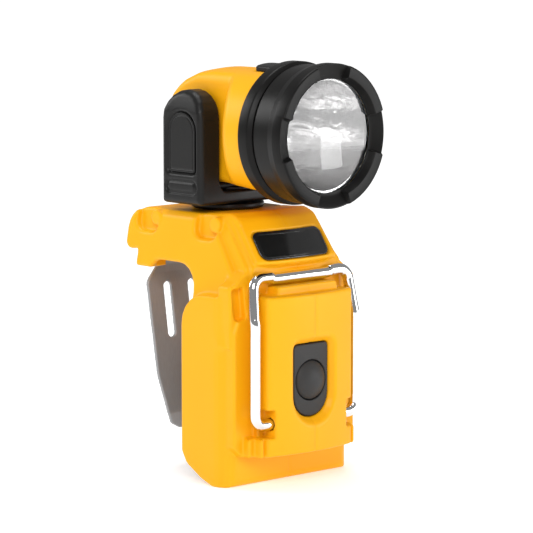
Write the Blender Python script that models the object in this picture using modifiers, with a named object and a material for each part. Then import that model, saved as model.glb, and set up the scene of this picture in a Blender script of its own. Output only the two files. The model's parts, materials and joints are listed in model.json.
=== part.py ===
"""Cordless pivoting work light: clamshell body, open battery bay, swivelling yoke and tilting lamp head.

Metres, +Z up, the front of the light faces -Y. Design places are measured from the swivel axis at
ground level, and the frame empty moves the whole light so that the middle of its box is the origin.
"""
import math

import bmesh
import bpy
from mathutils import Matrix, Vector

# ---------------------------------------------------------------- driving dimensions
BODY_WIDTH = 0.0620          # across the boot, the widest part of the body
BOOT_FRONT = 0.0330          # boot front face, forward of the swivel axis
BOOT_BACK = 0.0090           # rear edge of the boot side walls, forward of the swivel axis
BOOT_HEIGHT = 0.0680         # top of the boot's rounded shoulder
BOOT_CORNER = 0.0064         # radius of the boot's front corners
BOOT_SHOULDER = 0.0140       # radius of the boot's rear top corner
BOOT_CHAMFER = 0.0110        # height of the bevelled rear bottom corner
WALL = 0.0026                # moulded wall
ARCH_RISE = 0.0093           # from the boot shoulder to the top of the side arch
BLOCK_HEIGHT = 0.0179        # from the top of the side arch to the deck
BLOCK_INSET = 0.0055         # block side face inside the boot side face, at the arch top
BLOCK_DRAFT = 0.19           # sideways lean of the block side faces, per metre of height
BLOCK_REAR = 0.0285          # rearmost point of the rounded rear end
FOOT_BACK = 0.0215           # rear face of the two rear feet
FOOT_DEPTH = 0.0077
FOOT_DROP = 0.0031           # feet below the arch top
BROW_HALF = 0.0195
BROW_FRONT = 0.0394          # foremost point of the brow's lower lip
PANEL_HALF = 0.0207
PANEL_FRONT = 0.0464         # centre of the crowned front panel
PANEL_BOTTOM = 0.0115
PANEL_TOP = 0.0683
CROWN_RADIUS = 0.0730        # crown of the panel and of the brow, seen from above
FRAME_INSET = 0.0015         # raised frame inside the boot side face
FRAME_FRONT = 0.0356
BAIL_WIRE = 0.0020           # wire radius
BAIL_AXIS_Y = -0.0408
BAIL_AXIS_Z = 0.0228
BAIL_GAP = 0.0016            # from the panel side to the wire
BAIL_HEIGHT = 0.0519         # pivot axis to top bar
BAIL_BEND_HEIGHT = 0.0374    # where the legs start to lean back
BAIL_LEAN = 0.0026           # how far the top bar lies behind the pivot axis
SWITCH_Z = 0.0371            # button centre
BUTTON_RADIUS = 0.0070
BUTTON_TRAVEL = 0.0012
PLATE_HALF = 0.0084          # switch plate
PLATE_TOP = 0.0502
PLATE_BOTTOM = 0.0241
SWIVEL_RADIUS = 0.0075       # hollow shaft
COLLAR_RADIUS = 0.01345
DECK_GAP = 0.0028            # from the deck to the underside of the yoke
YOKE_DEPTH = 0.0213          # arm, front to back
YOKE_ARM = 0.0094            # arm thickness
YOKE_BASE = 0.0045
ARM_RISE = 0.0038            # centre of the arms' round tops, above the tilt axis
FACET_HALF = 0.0126          # flat sides of the lamp housing
HEAD_RADIUS = 0.0255         # bezel
HEAD_LENGTH = 0.0546         # tilt axis to the front of the bezel
HEAD_REAR = 0.0205           # tilt axis to the rear of the housing
COLLAR_START = 0.0324        # tilt axis to the rear of the black collar
COLLAR_LENGTH = 0.0056
TILT_SET = 0.0008            # tilt axis forward of the swivel axis
LENS_RADIUS = 0.0205
LENS_VIEW = 0.0198           # clear opening in front of the lens
LENS_DEPTH = 0.0034          # lens behind the bezel front
CLIP_THICK = 0.0014
CLIP_HALF = 0.0211
CLIP_DROP = 0.0640           # from the block underside to the clip's tip

# ---------------------------------------------------------------- clearances
GAP = 0.0003                 # between pieces that touch
RUN = 0.0003                 # radial play of a turning fit
SEAM = 0.00015               # half the gap between two shell halves

# ---------------------------------------------------------------- derived places
BODY_HALF = BODY_WIDTH / 2
BLOCK_HALF = BODY_HALF - BLOCK_INSET
FRAME_HALF = BODY_HALF - FRAME_INSET
BAY_HALF = BODY_HALF - WALL
ARCH_Z = BOOT_HEIGHT + ARCH_RISE
DECK_Z = ARCH_Z + BLOCK_HEIGHT
YOKE_Z = DECK_Z + DECK_GAP
TILT_Z = YOKE_Z + HEAD_RADIUS + 0.0010
BAY_FRONT = -(BOOT_FRONT - 0.0110)
BAIL_HALF = PANEL_HALF + BAIL_GAP + BAIL_WIRE
ARM_INNER = FACET_HALF + 0.0014
ARM_OUTER = ARM_INNER + YOKE_ARM
LENS_FRONT = HEAD_LENGTH - LENS_DEPTH
HOUSING_RADIUS = HEAD_RADIUS - 0.0022
SHIFT_Y = (HEAD_LENGTH + TILT_SET - BLOCK_REAR) / 2

YELLOW = ("yellow_nylon", (0.93, 0.42, 0.015), 0.38, 0.0)
BLACK = ("black_nylon", (0.018, 0.017, 0.017), 0.42, 0.0)
RUBBER = ("black_rubber", (0.030, 0.030, 0.030), 0.70, 0.0)
STEEL = ("brushed_steel", (0.46, 0.44, 0.42), 0.38, 1.0)
CHROME = ("chromed_wire", (0.72, 0.72, 0.72), 0.10, 1.0)
CLEAR = ("clear_lens", (0.90, 0.92, 0.93), 0.05, 0.0)
MIRROR = ("mirror_reflector", (0.85, 0.85, 0.85), 0.12, 1.0)
BADGE = ("badge_black", (0.012, 0.012, 0.012), 0.20, 0.0)
BOARD = ("circuit_board", (0.03, 0.16, 0.07), 0.50, 0.0)
ALUMINIUM = ("aluminium", (0.62, 0.63, 0.65), 0.40, 1.0)
COPPER = ("plated_copper", (0.80, 0.58, 0.30), 0.30, 1.0)
EMITTER = ("emitter_yellow", (0.92, 0.78, 0.22), 0.35, 0.0)
SCREW = ("black_steel", (0.06, 0.06, 0.06), 0.40, 1.0)

for old in list(bpy.data.objects):
    bpy.data.objects.remove(old)


def collection(name):
    made = bpy.data.collections.new(name)
    bpy.context.scene.collection.children.link(made)
    return made


PARTS = collection("work_light")
CUTTERS = collection("work_light_cutters")
DESIGN = {}                  # design place of each empty
CLAMSHELLS = []              # hollow two-part casings and the blanks they are cut from


def empty(name, place, parent=None):
    """An empty on a joint's axis, at a design place."""
    made = bpy.data.objects.new(name, None)
    made.empty_display_size = 0.01
    PARTS.objects.link(made)
    DESIGN[made] = Vector(place)
    if parent:
        made.parent = parent
        made.location = DESIGN[made] - DESIGN[parent]
    return made


FRAME = empty("frame", (0, 0, 0))
FRAME.location = (0, SHIFT_Y, 0)
SWIVEL = empty("swivel_axis", (0, 0, DECK_Z), FRAME)
TILT = empty("tilt_axis", (0, -TILT_SET, TILT_Z), SWIVEL)
BAIL = empty("bail_axis", (0, BAIL_AXIS_Y, BAIL_AXIS_Z), FRAME)
PRESS = empty("button_axis", (0, -PANEL_FRONT, SWITCH_Z), FRAME)


def material(look):
    name, colour, roughness, metallic = look
    found = bpy.data.materials.get(name)
    if found:
        return found
    made = bpy.data.materials.new(name)
    made.use_nodes = True
    shader = made.node_tree.nodes["Principled BSDF"]
    shader.inputs["Base Color"].default_value = (*colour, 1.0)
    shader.inputs["Roughness"].default_value = roughness
    shader.inputs["Metallic"].default_value = metallic
    made.diffuse_color = (*colour, 1.0)
    return made


def part(obj, name, look, holder=FRAME):
    """Names a finished piece, gives it its material and hangs it on its empty."""
    obj.name = name
    obj.data.name = name
    obj.data.materials.clear()
    obj.data.materials.append(material(look))
    obj.parent = holder
    obj.location = obj.location - DESIGN[holder]
    PARTS.objects.link(obj)
    return obj


def helper(obj, name):
    """Keeps a piece that only cuts or joins another one."""
    obj.name = name
    obj.parent = FRAME
    obj.hide_render = True
    obj.display_type = "WIRE"
    CUTTERS.objects.link(obj)
    return obj


def from_bmesh(bm):
    mesh = bpy.data.meshes.new("mesh")
    bmesh.ops.recalc_face_normals(bm, faces=bm.faces)
    bm.to_mesh(mesh)
    bm.free()
    return bpy.data.objects.new("piece", mesh)


def block(low, high):
    """A box between two corners."""
    bm = bmesh.new()
    bmesh.ops.create_cube(bm, size=1.0)
    size = Vector(high) - Vector(low)
    middle = (Vector(high) + Vector(low)) / 2
    bmesh.ops.transform(bm, matrix=Matrix.Translation(middle) @ Matrix.Diagonal((*size, 1)), verts=bm.verts)
    return from_bmesh(bm)


AXES = {                     # how a flat outline's x, y and thickness lie in the model
    "x": Matrix(((0, 0, 1), (1, 0, 0), (0, 1, 0))),
    "y": Matrix(((1, 0, 0), (0, 0, -1), (0, 1, 0))),
    "z": Matrix.Identity(3),
}


def slab(points, axis, low, high):
    """A closed outline extruded along an axis: (y, z) points for x, (x, z) for y and (x, y) for z."""
    curve = bpy.data.curves.new("outline", "CURVE")
    curve.dimensions = "2D"
    curve.fill_mode = "BOTH"
    curve.extrude = (high - low) / 2
    spline = curve.splines.new("POLY")
    spline.points.add(len(points) - 1)
    for point, (a, b) in zip(spline.points, points):
        point.co = (a, b, 0, 1)
    spline.use_cyclic_u = True
    drawn = bpy.data.objects.new("outline", curve)
    bpy.context.scene.collection.objects.link(drawn)
    mesh = bpy.data.meshes.new_from_object(drawn.evaluated_get(bpy.context.evaluated_depsgraph_get()))
    bpy.data.objects.remove(drawn)
    bm = bmesh.new()
    bm.from_mesh(mesh)
    bmesh.ops.remove_doubles(bm, verts=bm.verts, dist=0.00001)
    turn = AXES[axis].to_4x4()
    middle = (low + high) / 2
    along = {"x": (middle, 0, 0), "y": (0, middle, 0), "z": (0, 0, middle)}[axis]
    bmesh.ops.transform(bm, matrix=Matrix.Translation(along) @ turn, verts=bm.verts)
    return from_bmesh(bm)


def arc(centre, radius, start, end, steps):
    """Points of an arc, in degrees from the first axis."""
    points = []
    for step in range(steps + 1):
        angle = math.radians(start + (end - start) * step / steps)
        points.append((centre[0] + radius * math.cos(angle), centre[1] + radius * math.sin(angle)))
    return points


def rounded(low, high, radius, steps=4):
    """A rectangle with round corners."""
    (x0, y0), (x1, y1) = low, high
    corners = [((x1 - radius, y1 - radius), 0), ((x0 + radius, y1 - radius), 90),
               ((x0 + radius, y0 + radius), 180), ((x1 - radius, y0 + radius), 270)]
    points = []
    for centre, start in corners:
        points += arc(centre, radius, start, start + 90, steps)
    return points


def rod(centre, radius, axis, low, high, sides=24):
    """A cylinder along an axis; centre holds the two other coordinates."""
    return slab(arc(centre, radius, 0, 360 * (sides - 1) / sides, sides - 1), axis, low, high)


def turned(profile, steps, ring=False, forward=False, place=(0, 0, 0)):
    """A turned piece: (radius, height) points down the outer side, closed through the middle or a ring.

    A forward piece has its axis along -Y, with its heights measured forward from its place.
    """
    bm = bmesh.new()
    verts = [bm.verts.new((radius, 0, height)) for radius, height in profile]
    for one, two in zip(verts, verts[1:]):
        bm.edges.new((one, two))
    if ring:
        bm.edges.new((verts[-1], verts[0]))
    mesh = bpy.data.meshes.new("profile")
    bm.to_mesh(mesh)
    bm.free()
    obj = bpy.data.objects.new("turned", mesh)
    screw = obj.modifiers.new("turn", "SCREW")
    screw.steps = steps
    screw.render_steps = steps
    screw.use_merge_vertices = True
    screw.merge_threshold = 0.00001
    obj.location = place
    if forward:
        obj.rotation_euler = (math.pi / 2, 0, 0)
    return obj


def tube_ring(inner, outer, low, high):
    """Profile of a plain ring."""
    return [(inner, high), (outer, high), (outer, low), (inner, low)]


def joined(obj, operation, *tools):
    """Boolean steps; the hollow clamshells need the manifold solver, where the exact one leaves slits."""
    for tool in tools:
        modifier = obj.modifiers.new(operation.lower(), "BOOLEAN")
        modifier.operation = operation
        modifier.solver = "MANIFOLD" if obj in CLAMSHELLS else "EXACT"
        modifier.object = tool
    return obj


def cut(obj, *tools):
    return joined(obj, "DIFFERENCE", *tools)


def add(obj, *tools):
    return joined(obj, "UNION", *tools)


def keep(obj, *tools):
    return joined(obj, "INTERSECT", *tools)


# ---------------------------------------------------------------- body shells
BLOCK_BOTTOM = BOOT_HEIGHT - BOOT_SHOULDER
ARCH_CORNER = 0.0098
ARCH_FRONT = -0.0110
FOOT_FRONT = FOOT_BACK - FOOT_DEPTH
FOOT_Z = ARCH_Z - FOOT_DROP
REAR_RADIUS = 0.0085
TOP_SCREWS = ((-0.0180, DECK_Z - 0.0032), (0.0134, DECK_Z - 0.0030))
LOW_SCREWS = ((-(BOOT_FRONT - 0.0060), 0.0070), (-(BOOT_FRONT - 0.0060), BOOT_HEIGHT - 0.0105))
SCREW_RADIUS = 0.0013
HEAD_OF_SCREW = 0.0024       # radius of a screw's head
HEAD_DEPTH = 0.0020
BOSS_RADIUS = 0.00275


def block_width(z):
    return BLOCK_HALF - BLOCK_DRAFT * (z - ARCH_Z)


def block_outline():
    """Side view of the block: shoulder, deck, round rear end, foot and arch."""
    rear = arc((BLOCK_REAR - REAR_RADIUS, DECK_Z - REAR_RADIUS), REAR_RADIUS, 90, -60, 9)
    arch = arc((ARCH_FRONT + ARCH_CORNER, ARCH_Z - ARCH_CORNER), ARCH_CORNER, 90, 180, 7)
    front = -(BOOT_FRONT + 0.0015)
    shoulder = [(front, BLOCK_BOTTOM), (front, ARCH_Z - 0.0105), (front + 0.0055, ARCH_Z),
                (front + 0.0150, DECK_Z - 0.0055)]
    crest = arc((front + 0.0195, DECK_Z - 0.0050), 0.0050, 165, 90, 4)
    foot = [(FOOT_BACK, ARCH_Z + 0.0020), (FOOT_BACK, FOOT_Z), (FOOT_FRONT, FOOT_Z),
            (FOOT_FRONT - 0.0022, ARCH_Z - 0.0008), (FOOT_FRONT - 0.0045, ARCH_Z)]
    return shoulder + crest + rear + foot + arch + [(ARCH_FRONT, BLOCK_BOTTOM)]


def leaning_block():
    """The block with its side faces leaning inwards to the deck."""
    obj = slab(block_outline(), "x", -1.0, 1.0)
    for vertex in obj.data.vertices:
        vertex.co.x = math.copysign(block_width(vertex.co.z), vertex.co.x)
    return obj


def crowned(half, front, back):
    """Outline seen from above: a crowned front edge and a straight back."""
    angle = math.degrees(math.asin(half / CROWN_RADIUS))
    edge = arc((0, CROWN_RADIUS - front), CROWN_RADIUS, 270 - angle, 270 + angle, 8)
    return edge + [(half, back), (-half, back)]


def boot_outline():
    """Side view of the boot: bevelled rear bottom corner and round rear shoulder."""
    lip = BOOT_BACK + 0.0160
    bottom = [(-BOOT_FRONT, 0), (-lip, 0), (-(lip - 0.0058), BOOT_CHAMFER * 0.2),
              (-(BOOT_BACK + 0.0027), BOOT_CHAMFER * 0.6), (-BOOT_BACK, BOOT_CHAMFER)]
    round_top = arc((-(BOOT_BACK + BOOT_SHOULDER), BOOT_HEIGHT - BOOT_SHOULDER), BOOT_SHOULDER, 0, 90, 7)
    crease = [(-(BOOT_FRONT - 0.0020), BOOT_HEIGHT), (-BOOT_FRONT, BOOT_HEIGHT - 0.0020)]
    return bottom + round_top + crease


def boot_plan():
    """The boot seen from above, with round front corners."""
    left = arc((-(BODY_HALF - BOOT_CORNER), -(BOOT_FRONT - BOOT_CORNER)), BOOT_CORNER, 180, 270, 6)
    right = arc((BODY_HALF - BOOT_CORNER, -(BOOT_FRONT - BOOT_CORNER)), BOOT_CORNER, 270, 360, 6)
    return left + right + [(BODY_HALF, 0), (-BODY_HALF, 0)]


def frame_outline():
    """Front view of the raised frame, narrow at the brow and wide below."""
    top = ARCH_Z - 0.0060
    side = [(FRAME_HALF, PANEL_BOTTOM + 0.0030), (FRAME_HALF, BOOT_HEIGHT - 0.0130),
            (FRAME_HALF - 0.0012, BOOT_HEIGHT - 0.0060), (block_width(top), top)]
    mirrored = [(-x, z) for x, z in reversed(side)]
    foot = [(-FRAME_HALF + 0.0040, PANEL_BOTTOM - 0.0005), (FRAME_HALF - 0.0040, PANEL_BOTTOM - 0.0005)]
    return foot + side + mirrored


BROW_TOP = Vector((0, -(BROW_FRONT - 0.0084), DECK_Z - 0.0044))
BROW_LIP = Vector((0, -BROW_FRONT, ARCH_Z + 0.0014))
SLOPE = (BROW_LIP - BROW_TOP).normalized()
OUTWARD = Vector((0, SLOPE.z, -SLOPE.y))


def on_slope(obj):
    """Turns a piece drawn with x across, y outwards and z up the slope onto the brow's face."""
    turn = Matrix((Vector((1, 0, 0)), -OUTWARD, -SLOPE)).transposed().to_4x4()
    obj.data.transform(Matrix.Translation(BROW_LIP) @ turn)
    return obj


def brow():
    """The brow over the bail, crowned and sloping."""
    top = BROW_TOP + OUTWARD * 0.0010
    lip = BROW_LIP + OUTWARD * 0.0010
    root = -0.0150
    low = ARCH_Z + 0.0006
    high = DECK_Z - 0.0004
    side = [(root, high), (-(BROW_FRONT - 0.0150), high), (-(BROW_FRONT - 0.0112), high - 0.0010),
            (top.y, top.z), (lip.y, lip.z), (BROW_LIP.y, low), (root, low)]
    body = helper(slab(side, "x", -BROW_HALF, BROW_HALF), "brow_side_view")
    crown = helper(on_slope(slab(crowned(0.0300, 0.0, 0.0450), "z", -0.010, 0.040)), "brow_crown")
    keep(body, crown)
    return body


LABEL_HALF = 0.0165
LABEL_LOW = 0.0022
LABEL_HIGH = 0.0136


def label(low, high, grow):
    """A rounded badge that follows the brow's crown, between two depths along the outward normal."""
    ring = slab(crowned(0.0250, high, 0.0200), "z", 0, 0.030)
    inner = slab(crowned(0.0280, low, 0.0220), "z", -0.002, 0.032)
    half = LABEL_HALF + grow
    outline = slab(rounded((-half, LABEL_LOW - grow), (half, LABEL_HIGH + grow), 0.0030), "y", -0.006, 0.006)
    for obj in (ring, inner, outline):
        on_slope(obj)
    return ring, inner, outline


def plate_outline(grow):
    """The switch plate: flat top and round bottom."""
    half = PLATE_HALF + grow
    bottom = arc((0, PLATE_BOTTOM + PLATE_HALF), half, 180, 360, 12)
    return bottom + [(half, PLATE_TOP + grow - 0.0020), (half - 0.0020, PLATE_TOP + grow),
                     (-half + 0.0020, PLATE_TOP + grow), (-half, PLATE_TOP + grow - 0.0020)]


PLATE_FACE = -(PANEL_FRONT - 0.0028)
PANEL_CAVITY = -(PANEL_FRONT - 0.0054)
ELECTRONICS_BACK = BAY_FRONT - WALL
DECK_THICK = 0.0035
TAB_HALF = 0.0145            # tab on top of the panel
NECK_HALF = 0.0164
CELLAR_Z = ARCH_Z + 0.0027   # floor of the hollow inside the block
CLIP_SCREWS = ((-0.0085, 0.0085), (0.0085, 0.0085))
CLIP_SCREW_TIP = CELLAR_Z + 0.0045


def body_blank():
    """Both halves of the body as one hollow solid, which the two shells are cut from."""
    blank = helper(leaning_block(), "body_blank")
    CLAMSHELLS.append(blank)
    boot = helper(slab(boot_outline(), "x", -BODY_HALF, BODY_HALF), "boot_blank")
    keep(boot, helper(slab(boot_plan(), "z", -0.01, BOOT_HEIGHT + 0.01), "boot_plan"))
    frame = helper(slab(frame_outline(), "y", -FRAME_FRONT, -(BOOT_FRONT - 0.0040)), "raised_frame")
    panel = helper(slab(crowned(PANEL_HALF, PANEL_FRONT, -0.0310), "z", PANEL_BOTTOM, PANEL_TOP), "panel")
    tab_front = -(PANEL_FRONT - 0.0044)
    tab = block((-TAB_HALF, tab_front, PANEL_TOP - 0.0010), (TAB_HALF, -BOOT_FRONT, PANEL_TOP + 0.0030))
    add(blank, boot, frame, panel, helper(tab, "panel_tab"), brow())

    bay_low = block((-BAY_HALF, BAY_FRONT, -0.01), (BAY_HALF, 0.0300, BOOT_HEIGHT - BOOT_SHOULDER + 0.0010))
    inside = BLOCK_HALF - WALL
    bay_high = block((-inside, BAY_FRONT, 0.010), (inside, FOOT_FRONT + 0.0002, ARCH_Z))
    neck = block((-NECK_HALF - 0.0010, 0.0, ARCH_Z - 0.020), (NECK_HALF + 0.0010, 0.0300, ARCH_Z))
    boot_hollow = block((-(BAY_HALF - 0.0040), -(BOOT_FRONT - WALL), 0.0025),
                        (BAY_HALF - 0.0040, ELECTRONICS_BACK, BOOT_HEIGHT - 0.0140))
    panel_hollow = block((-(PANEL_HALF - WALL), PANEL_CAVITY, PANEL_BOTTOM + WALL),
                         (PANEL_HALF - WALL, ELECTRONICS_BACK, PANEL_TOP - WALL))
    inside = block_width(DECK_Z) - WALL - 0.0010
    cellar = block((-inside, -0.0270, CELLAR_Z), (inside, BLOCK_REAR - 0.0100, DECK_Z - DECK_THICK))
    wire_way = block((-0.0080, -0.0320, PANEL_TOP - 0.0100), (0.0080, ELECTRONICS_BACK, CELLAR_Z + 0.0020))
    for tool in (bay_low, bay_high, neck, boot_hollow, panel_hollow, cellar, wire_way):
        cut(blank, helper(tool, "hollow"))

    shaft_way = rod((0, 0), SWIVEL_RADIUS + RUN, "z", DECK_Z - 0.010, DECK_Z + 0.010, 32)
    cut(blank, helper(shaft_way, "swivel_hole"))
    cut(blank, helper(slab(plate_outline(GAP), "y", -0.060, PANEL_CAVITY + 0.001), "switch_opening"))
    flare = slab(plate_outline(0.0024), "y", -0.060, PLATE_FACE - 0.0008)
    cut(blank, helper(flare, "switch_recess"))
    ring, inner, outline = (helper(obj, "badge_recess") for obj in label(-0.0008, 0.004, 0.0003))
    keep(ring, outline)
    cut(ring, inner)
    cut(blank, ring)
    for side in (-1, 1):
        ends = sorted((side * (BAIL_HALF + 0.001), side * (PANEL_HALF - WALL - 0.001)))
        cut(blank, helper(rod((BAIL_AXIS_Y, BAIL_AXIS_Z), BAIL_WIRE + RUN, "x", *ends, 16), "bail_hole"))
        for y, z in TOP_SCREWS:
            inner, outer = sorted((side * (block_width(z) - 0.0022), side * (BLOCK_HALF + 0.010)))
            pocket = block((inner, y, z - 0.0060), (outer, y + 0.0085, DECK_Z + 0.003))
            cut(blank, helper(pocket, "shoulder_pocket"))
    for y, z in TOP_SCREWS:
        end = block_width(z) + 0.0002
        add(blank, helper(rod((y, z), BOSS_RADIUS, "x", -end, end, 16), "boss"))
    for y, z in LOW_SCREWS:
        end = BAY_HALF - 0.0020
        add(blank, helper(rod((y, z), BOSS_RADIUS, "x", -end, end, 16), "boss"))
    for centre in CLIP_SCREWS:
        boss = rod(centre, BOSS_RADIUS, "z", ARCH_Z + 0.0010, CLIP_SCREW_TIP + 0.0012, 16)
        add(blank, helper(boss, "clip_boss"))
        way = rod(centre, SCREW_RADIUS + GAP, "z", ARCH_Z - 0.010, CLIP_SCREW_TIP + GAP, 12)
        cut(blank, helper(way, "clip_screw_way"))
    return blank


def screw_reach(z):
    """Outer end of a shell screw's head on the right side."""
    return (block_width(z) if z > BOOT_HEIGHT else BODY_HALF) - 0.0010


def shells():
    blank = body_blank()
    far = 0.10
    left = block((-far, -far, -0.02), (-SEAM, far, DECK_Z + 0.02))
    right = block((SEAM, -far, -0.02), (far, far, DECK_Z + 0.02))
    for obj in (left, right):
        CLAMSHELLS.append(obj)
        keep(obj, blank)
    for y, z in TOP_SCREWS + LOW_SCREWS:
        cut(left, helper(rod((y, z), SCREW_RADIUS + GAP, "x", -0.0150, 0.010, 12), "screw_hole"))
        cut(right, helper(rod((y, z), SCREW_RADIUS + GAP, "x", -0.010, far, 12), "screw_hole"))
        seat = screw_reach(z) - HEAD_DEPTH - GAP
        cut(right, helper(rod((y, z), HEAD_OF_SCREW + GAP, "x", seat, far, 16), "head_hole"))
    part(left, "left_shell", YELLOW)
    part(right, "right_shell", YELLOW)


def screw(name, centre, axis, head_end, tip, holder=FRAME):
    """A pan-head screw with a hex socket; head_end is the outer end of its head."""
    towards = 1 if head_end > tip else -1
    neck = head_end - towards * HEAD_DEPTH
    shank = rod(centre, SCREW_RADIUS, axis, *sorted((neck + towards * 0.0005, tip)), 12)
    head = rod(centre, HEAD_OF_SCREW, axis, *sorted((neck, head_end)), 16)
    depth = sorted((head_end - towards * 0.0011, head_end + towards * 0.01))
    add(shank, helper(head, name + "_head"))
    cut(shank, helper(rod(centre, 0.0012, axis, *depth, 6), name + "_socket"))
    return part(shank, name, SCREW, holder)


def shell_screws():
    for number, (y, z) in enumerate(TOP_SCREWS + LOW_SCREWS, 1):
        screw("shell_screw_%d" % number, (y, z), "x", screw_reach(z), -0.0140)


def badge():
    ring, inner, outline = label(-0.0008 + GAP, 0.0002, 0.0)
    keep(ring, helper(outline, "badge_outline"))
    cut(ring, helper(inner, "badge_inside"))
    part(ring, "label_plate", BADGE)


# ---------------------------------------------------------------- switch
BUTTON_CROWN = 0.0026
FLANGE_DEPTH = 0.0009
STEM_RADIUS = 0.0024


def switch():
    plate = slab(plate_outline(0), "y", PLATE_FACE, PANEL_CAVITY)
    cut(plate, helper(rod((0, SWITCH_Z), BUTTON_RADIUS + RUN, "y", -0.060, 0.0, 32), "button_hole"))
    part(plate, "switch_plate", RUBBER)

    crown = BUTTON_CROWN
    sphere = (BUTTON_RADIUS ** 2 + crown ** 2) / (2 * crown)
    dome = [(0, crown)]
    for step in range(1, 6):
        angle = math.asin(BUTTON_RADIUS / sphere) * step / 5
        dome.append((sphere * math.sin(angle), crown - sphere * (1 - math.cos(angle))))
    flange = BUTTON_RADIUS + 0.0009
    skirt = PANEL_CAVITY - PLATE_FACE + GAP
    back = -skirt - FLANGE_DEPTH
    profile = dome + [(BUTTON_RADIUS, -skirt), (flange, -skirt), (flange, back), (STEM_RADIUS, back),
                      (STEM_RADIUS, back - 0.0036), (0, back - 0.0036)]
    part(turned(profile, 32, forward=True, place=(0, PLATE_FACE, SWITCH_Z)), "switch_button", RUBBER, PRESS)

    front = PANEL_CAVITY + FLANGE_DEPTH + GAP + BUTTON_TRAVEL + GAP
    body = block((-0.0060, front, SWITCH_Z - 0.0065), (0.0060, front + 0.0080, SWITCH_Z + 0.0065))
    stem_way = rod((0, SWITCH_Z), STEM_RADIUS + RUN, "y", front - 0.01, front + 0.0045, 16)
    cut(body, helper(stem_way, "stem_hole"))
    part(body, "switch_body", BLACK)

    board_y = ELECTRONICS_BACK - GAP - 0.0015
    board = block((-0.0150, board_y, 0.0200), (0.0150, board_y + 0.0012, BOOT_HEIGHT - 0.0160))
    part(board, "driver_board", BOARD)
    can = rod((0.0105, 0.0290), 0.0030, "y", board_y - GAP - 0.0050, board_y - GAP, 16)
    part(can, "board_capacitor", ALUMINIUM)
    coil = block((-0.0135, board_y - GAP - 0.0040, 0.0260), (-0.0075, board_y - GAP, 0.0320))
    part(coil, "board_inductor", BLACK)


# ---------------------------------------------------------------- battery receiver
RAIL_TOP = BOOT_HEIGHT - BOOT_SHOULDER - 0.0010
RAIL_BOTTOM = 0.0080
RAIL_THICK = 0.0040
RAIL_DEPTH = 0.0045
RAIL_LIP = 0.0065
LAND_HALF = 0.0160            # raised flat that the pack bears on, below the contacts
LAND_RISE = 0.0005
BLADE_PITCH = 0.0052
BLADE_HALF = 0.0004


def receiver():
    """Guide rails and contacts that the battery pack slides onto from below."""
    half = BAY_HALF - 0.0042
    back = BAY_FRONT + GAP
    face = back + 0.0022
    plate = block((-half, back, RAIL_BOTTOM), (half, face, RAIL_TOP))
    for side in (-1, 1):
        low, high = sorted((side * (half - RAIL_THICK), side * half))
        rail = rounded((low, face - 0.0005), (high, face + RAIL_DEPTH), 0.0004, 1)
        add(plate, helper(slab(rail, "z", RAIL_BOTTOM, RAIL_TOP), "rail"))
        low, high = sorted((side * (half - RAIL_LIP), side * (half - 0.0010)))
        lip = block((low, face + RAIL_DEPTH - 0.0018, RAIL_BOTTOM), (high, face + RAIL_DEPTH, RAIL_TOP))
        add(plate, helper(lip, "rail_lip"))
    low = RAIL_TOP - 0.0130
    land_top = low - 0.0125
    land = block((-LAND_HALF, face - 0.0005, RAIL_BOTTOM + 0.0010), (LAND_HALF, face + LAND_RISE, land_top))
    add(plate, helper(land, "pack_land"))
    part(plate, "battery_receiver", BLACK)

    block_face = face + 0.0080
    terminal = block((-0.0115, face + GAP, low), (0.0115, block_face, RAIL_TOP))
    part(terminal, "terminal_block", BLACK)
    for number in range(4):
        x = (number - 1.5) * BLADE_PITCH
        tip = (x - BLADE_HALF, face + 0.0020, low - GAP - 0.0090)
        blade = block(tip, (x + BLADE_HALF, face + 0.0070, low - GAP))
        part(blade, "terminal_blade_%d" % (number + 1), COPPER)


# ---------------------------------------------------------------- belt clip
CLIP_TAB_Z = ARCH_Z - GAP
CLIP_TAB_FRONT = 0.0020
CLIP_BEND_Y = 0.0217
CLIP_LEAN = 0.15


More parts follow.
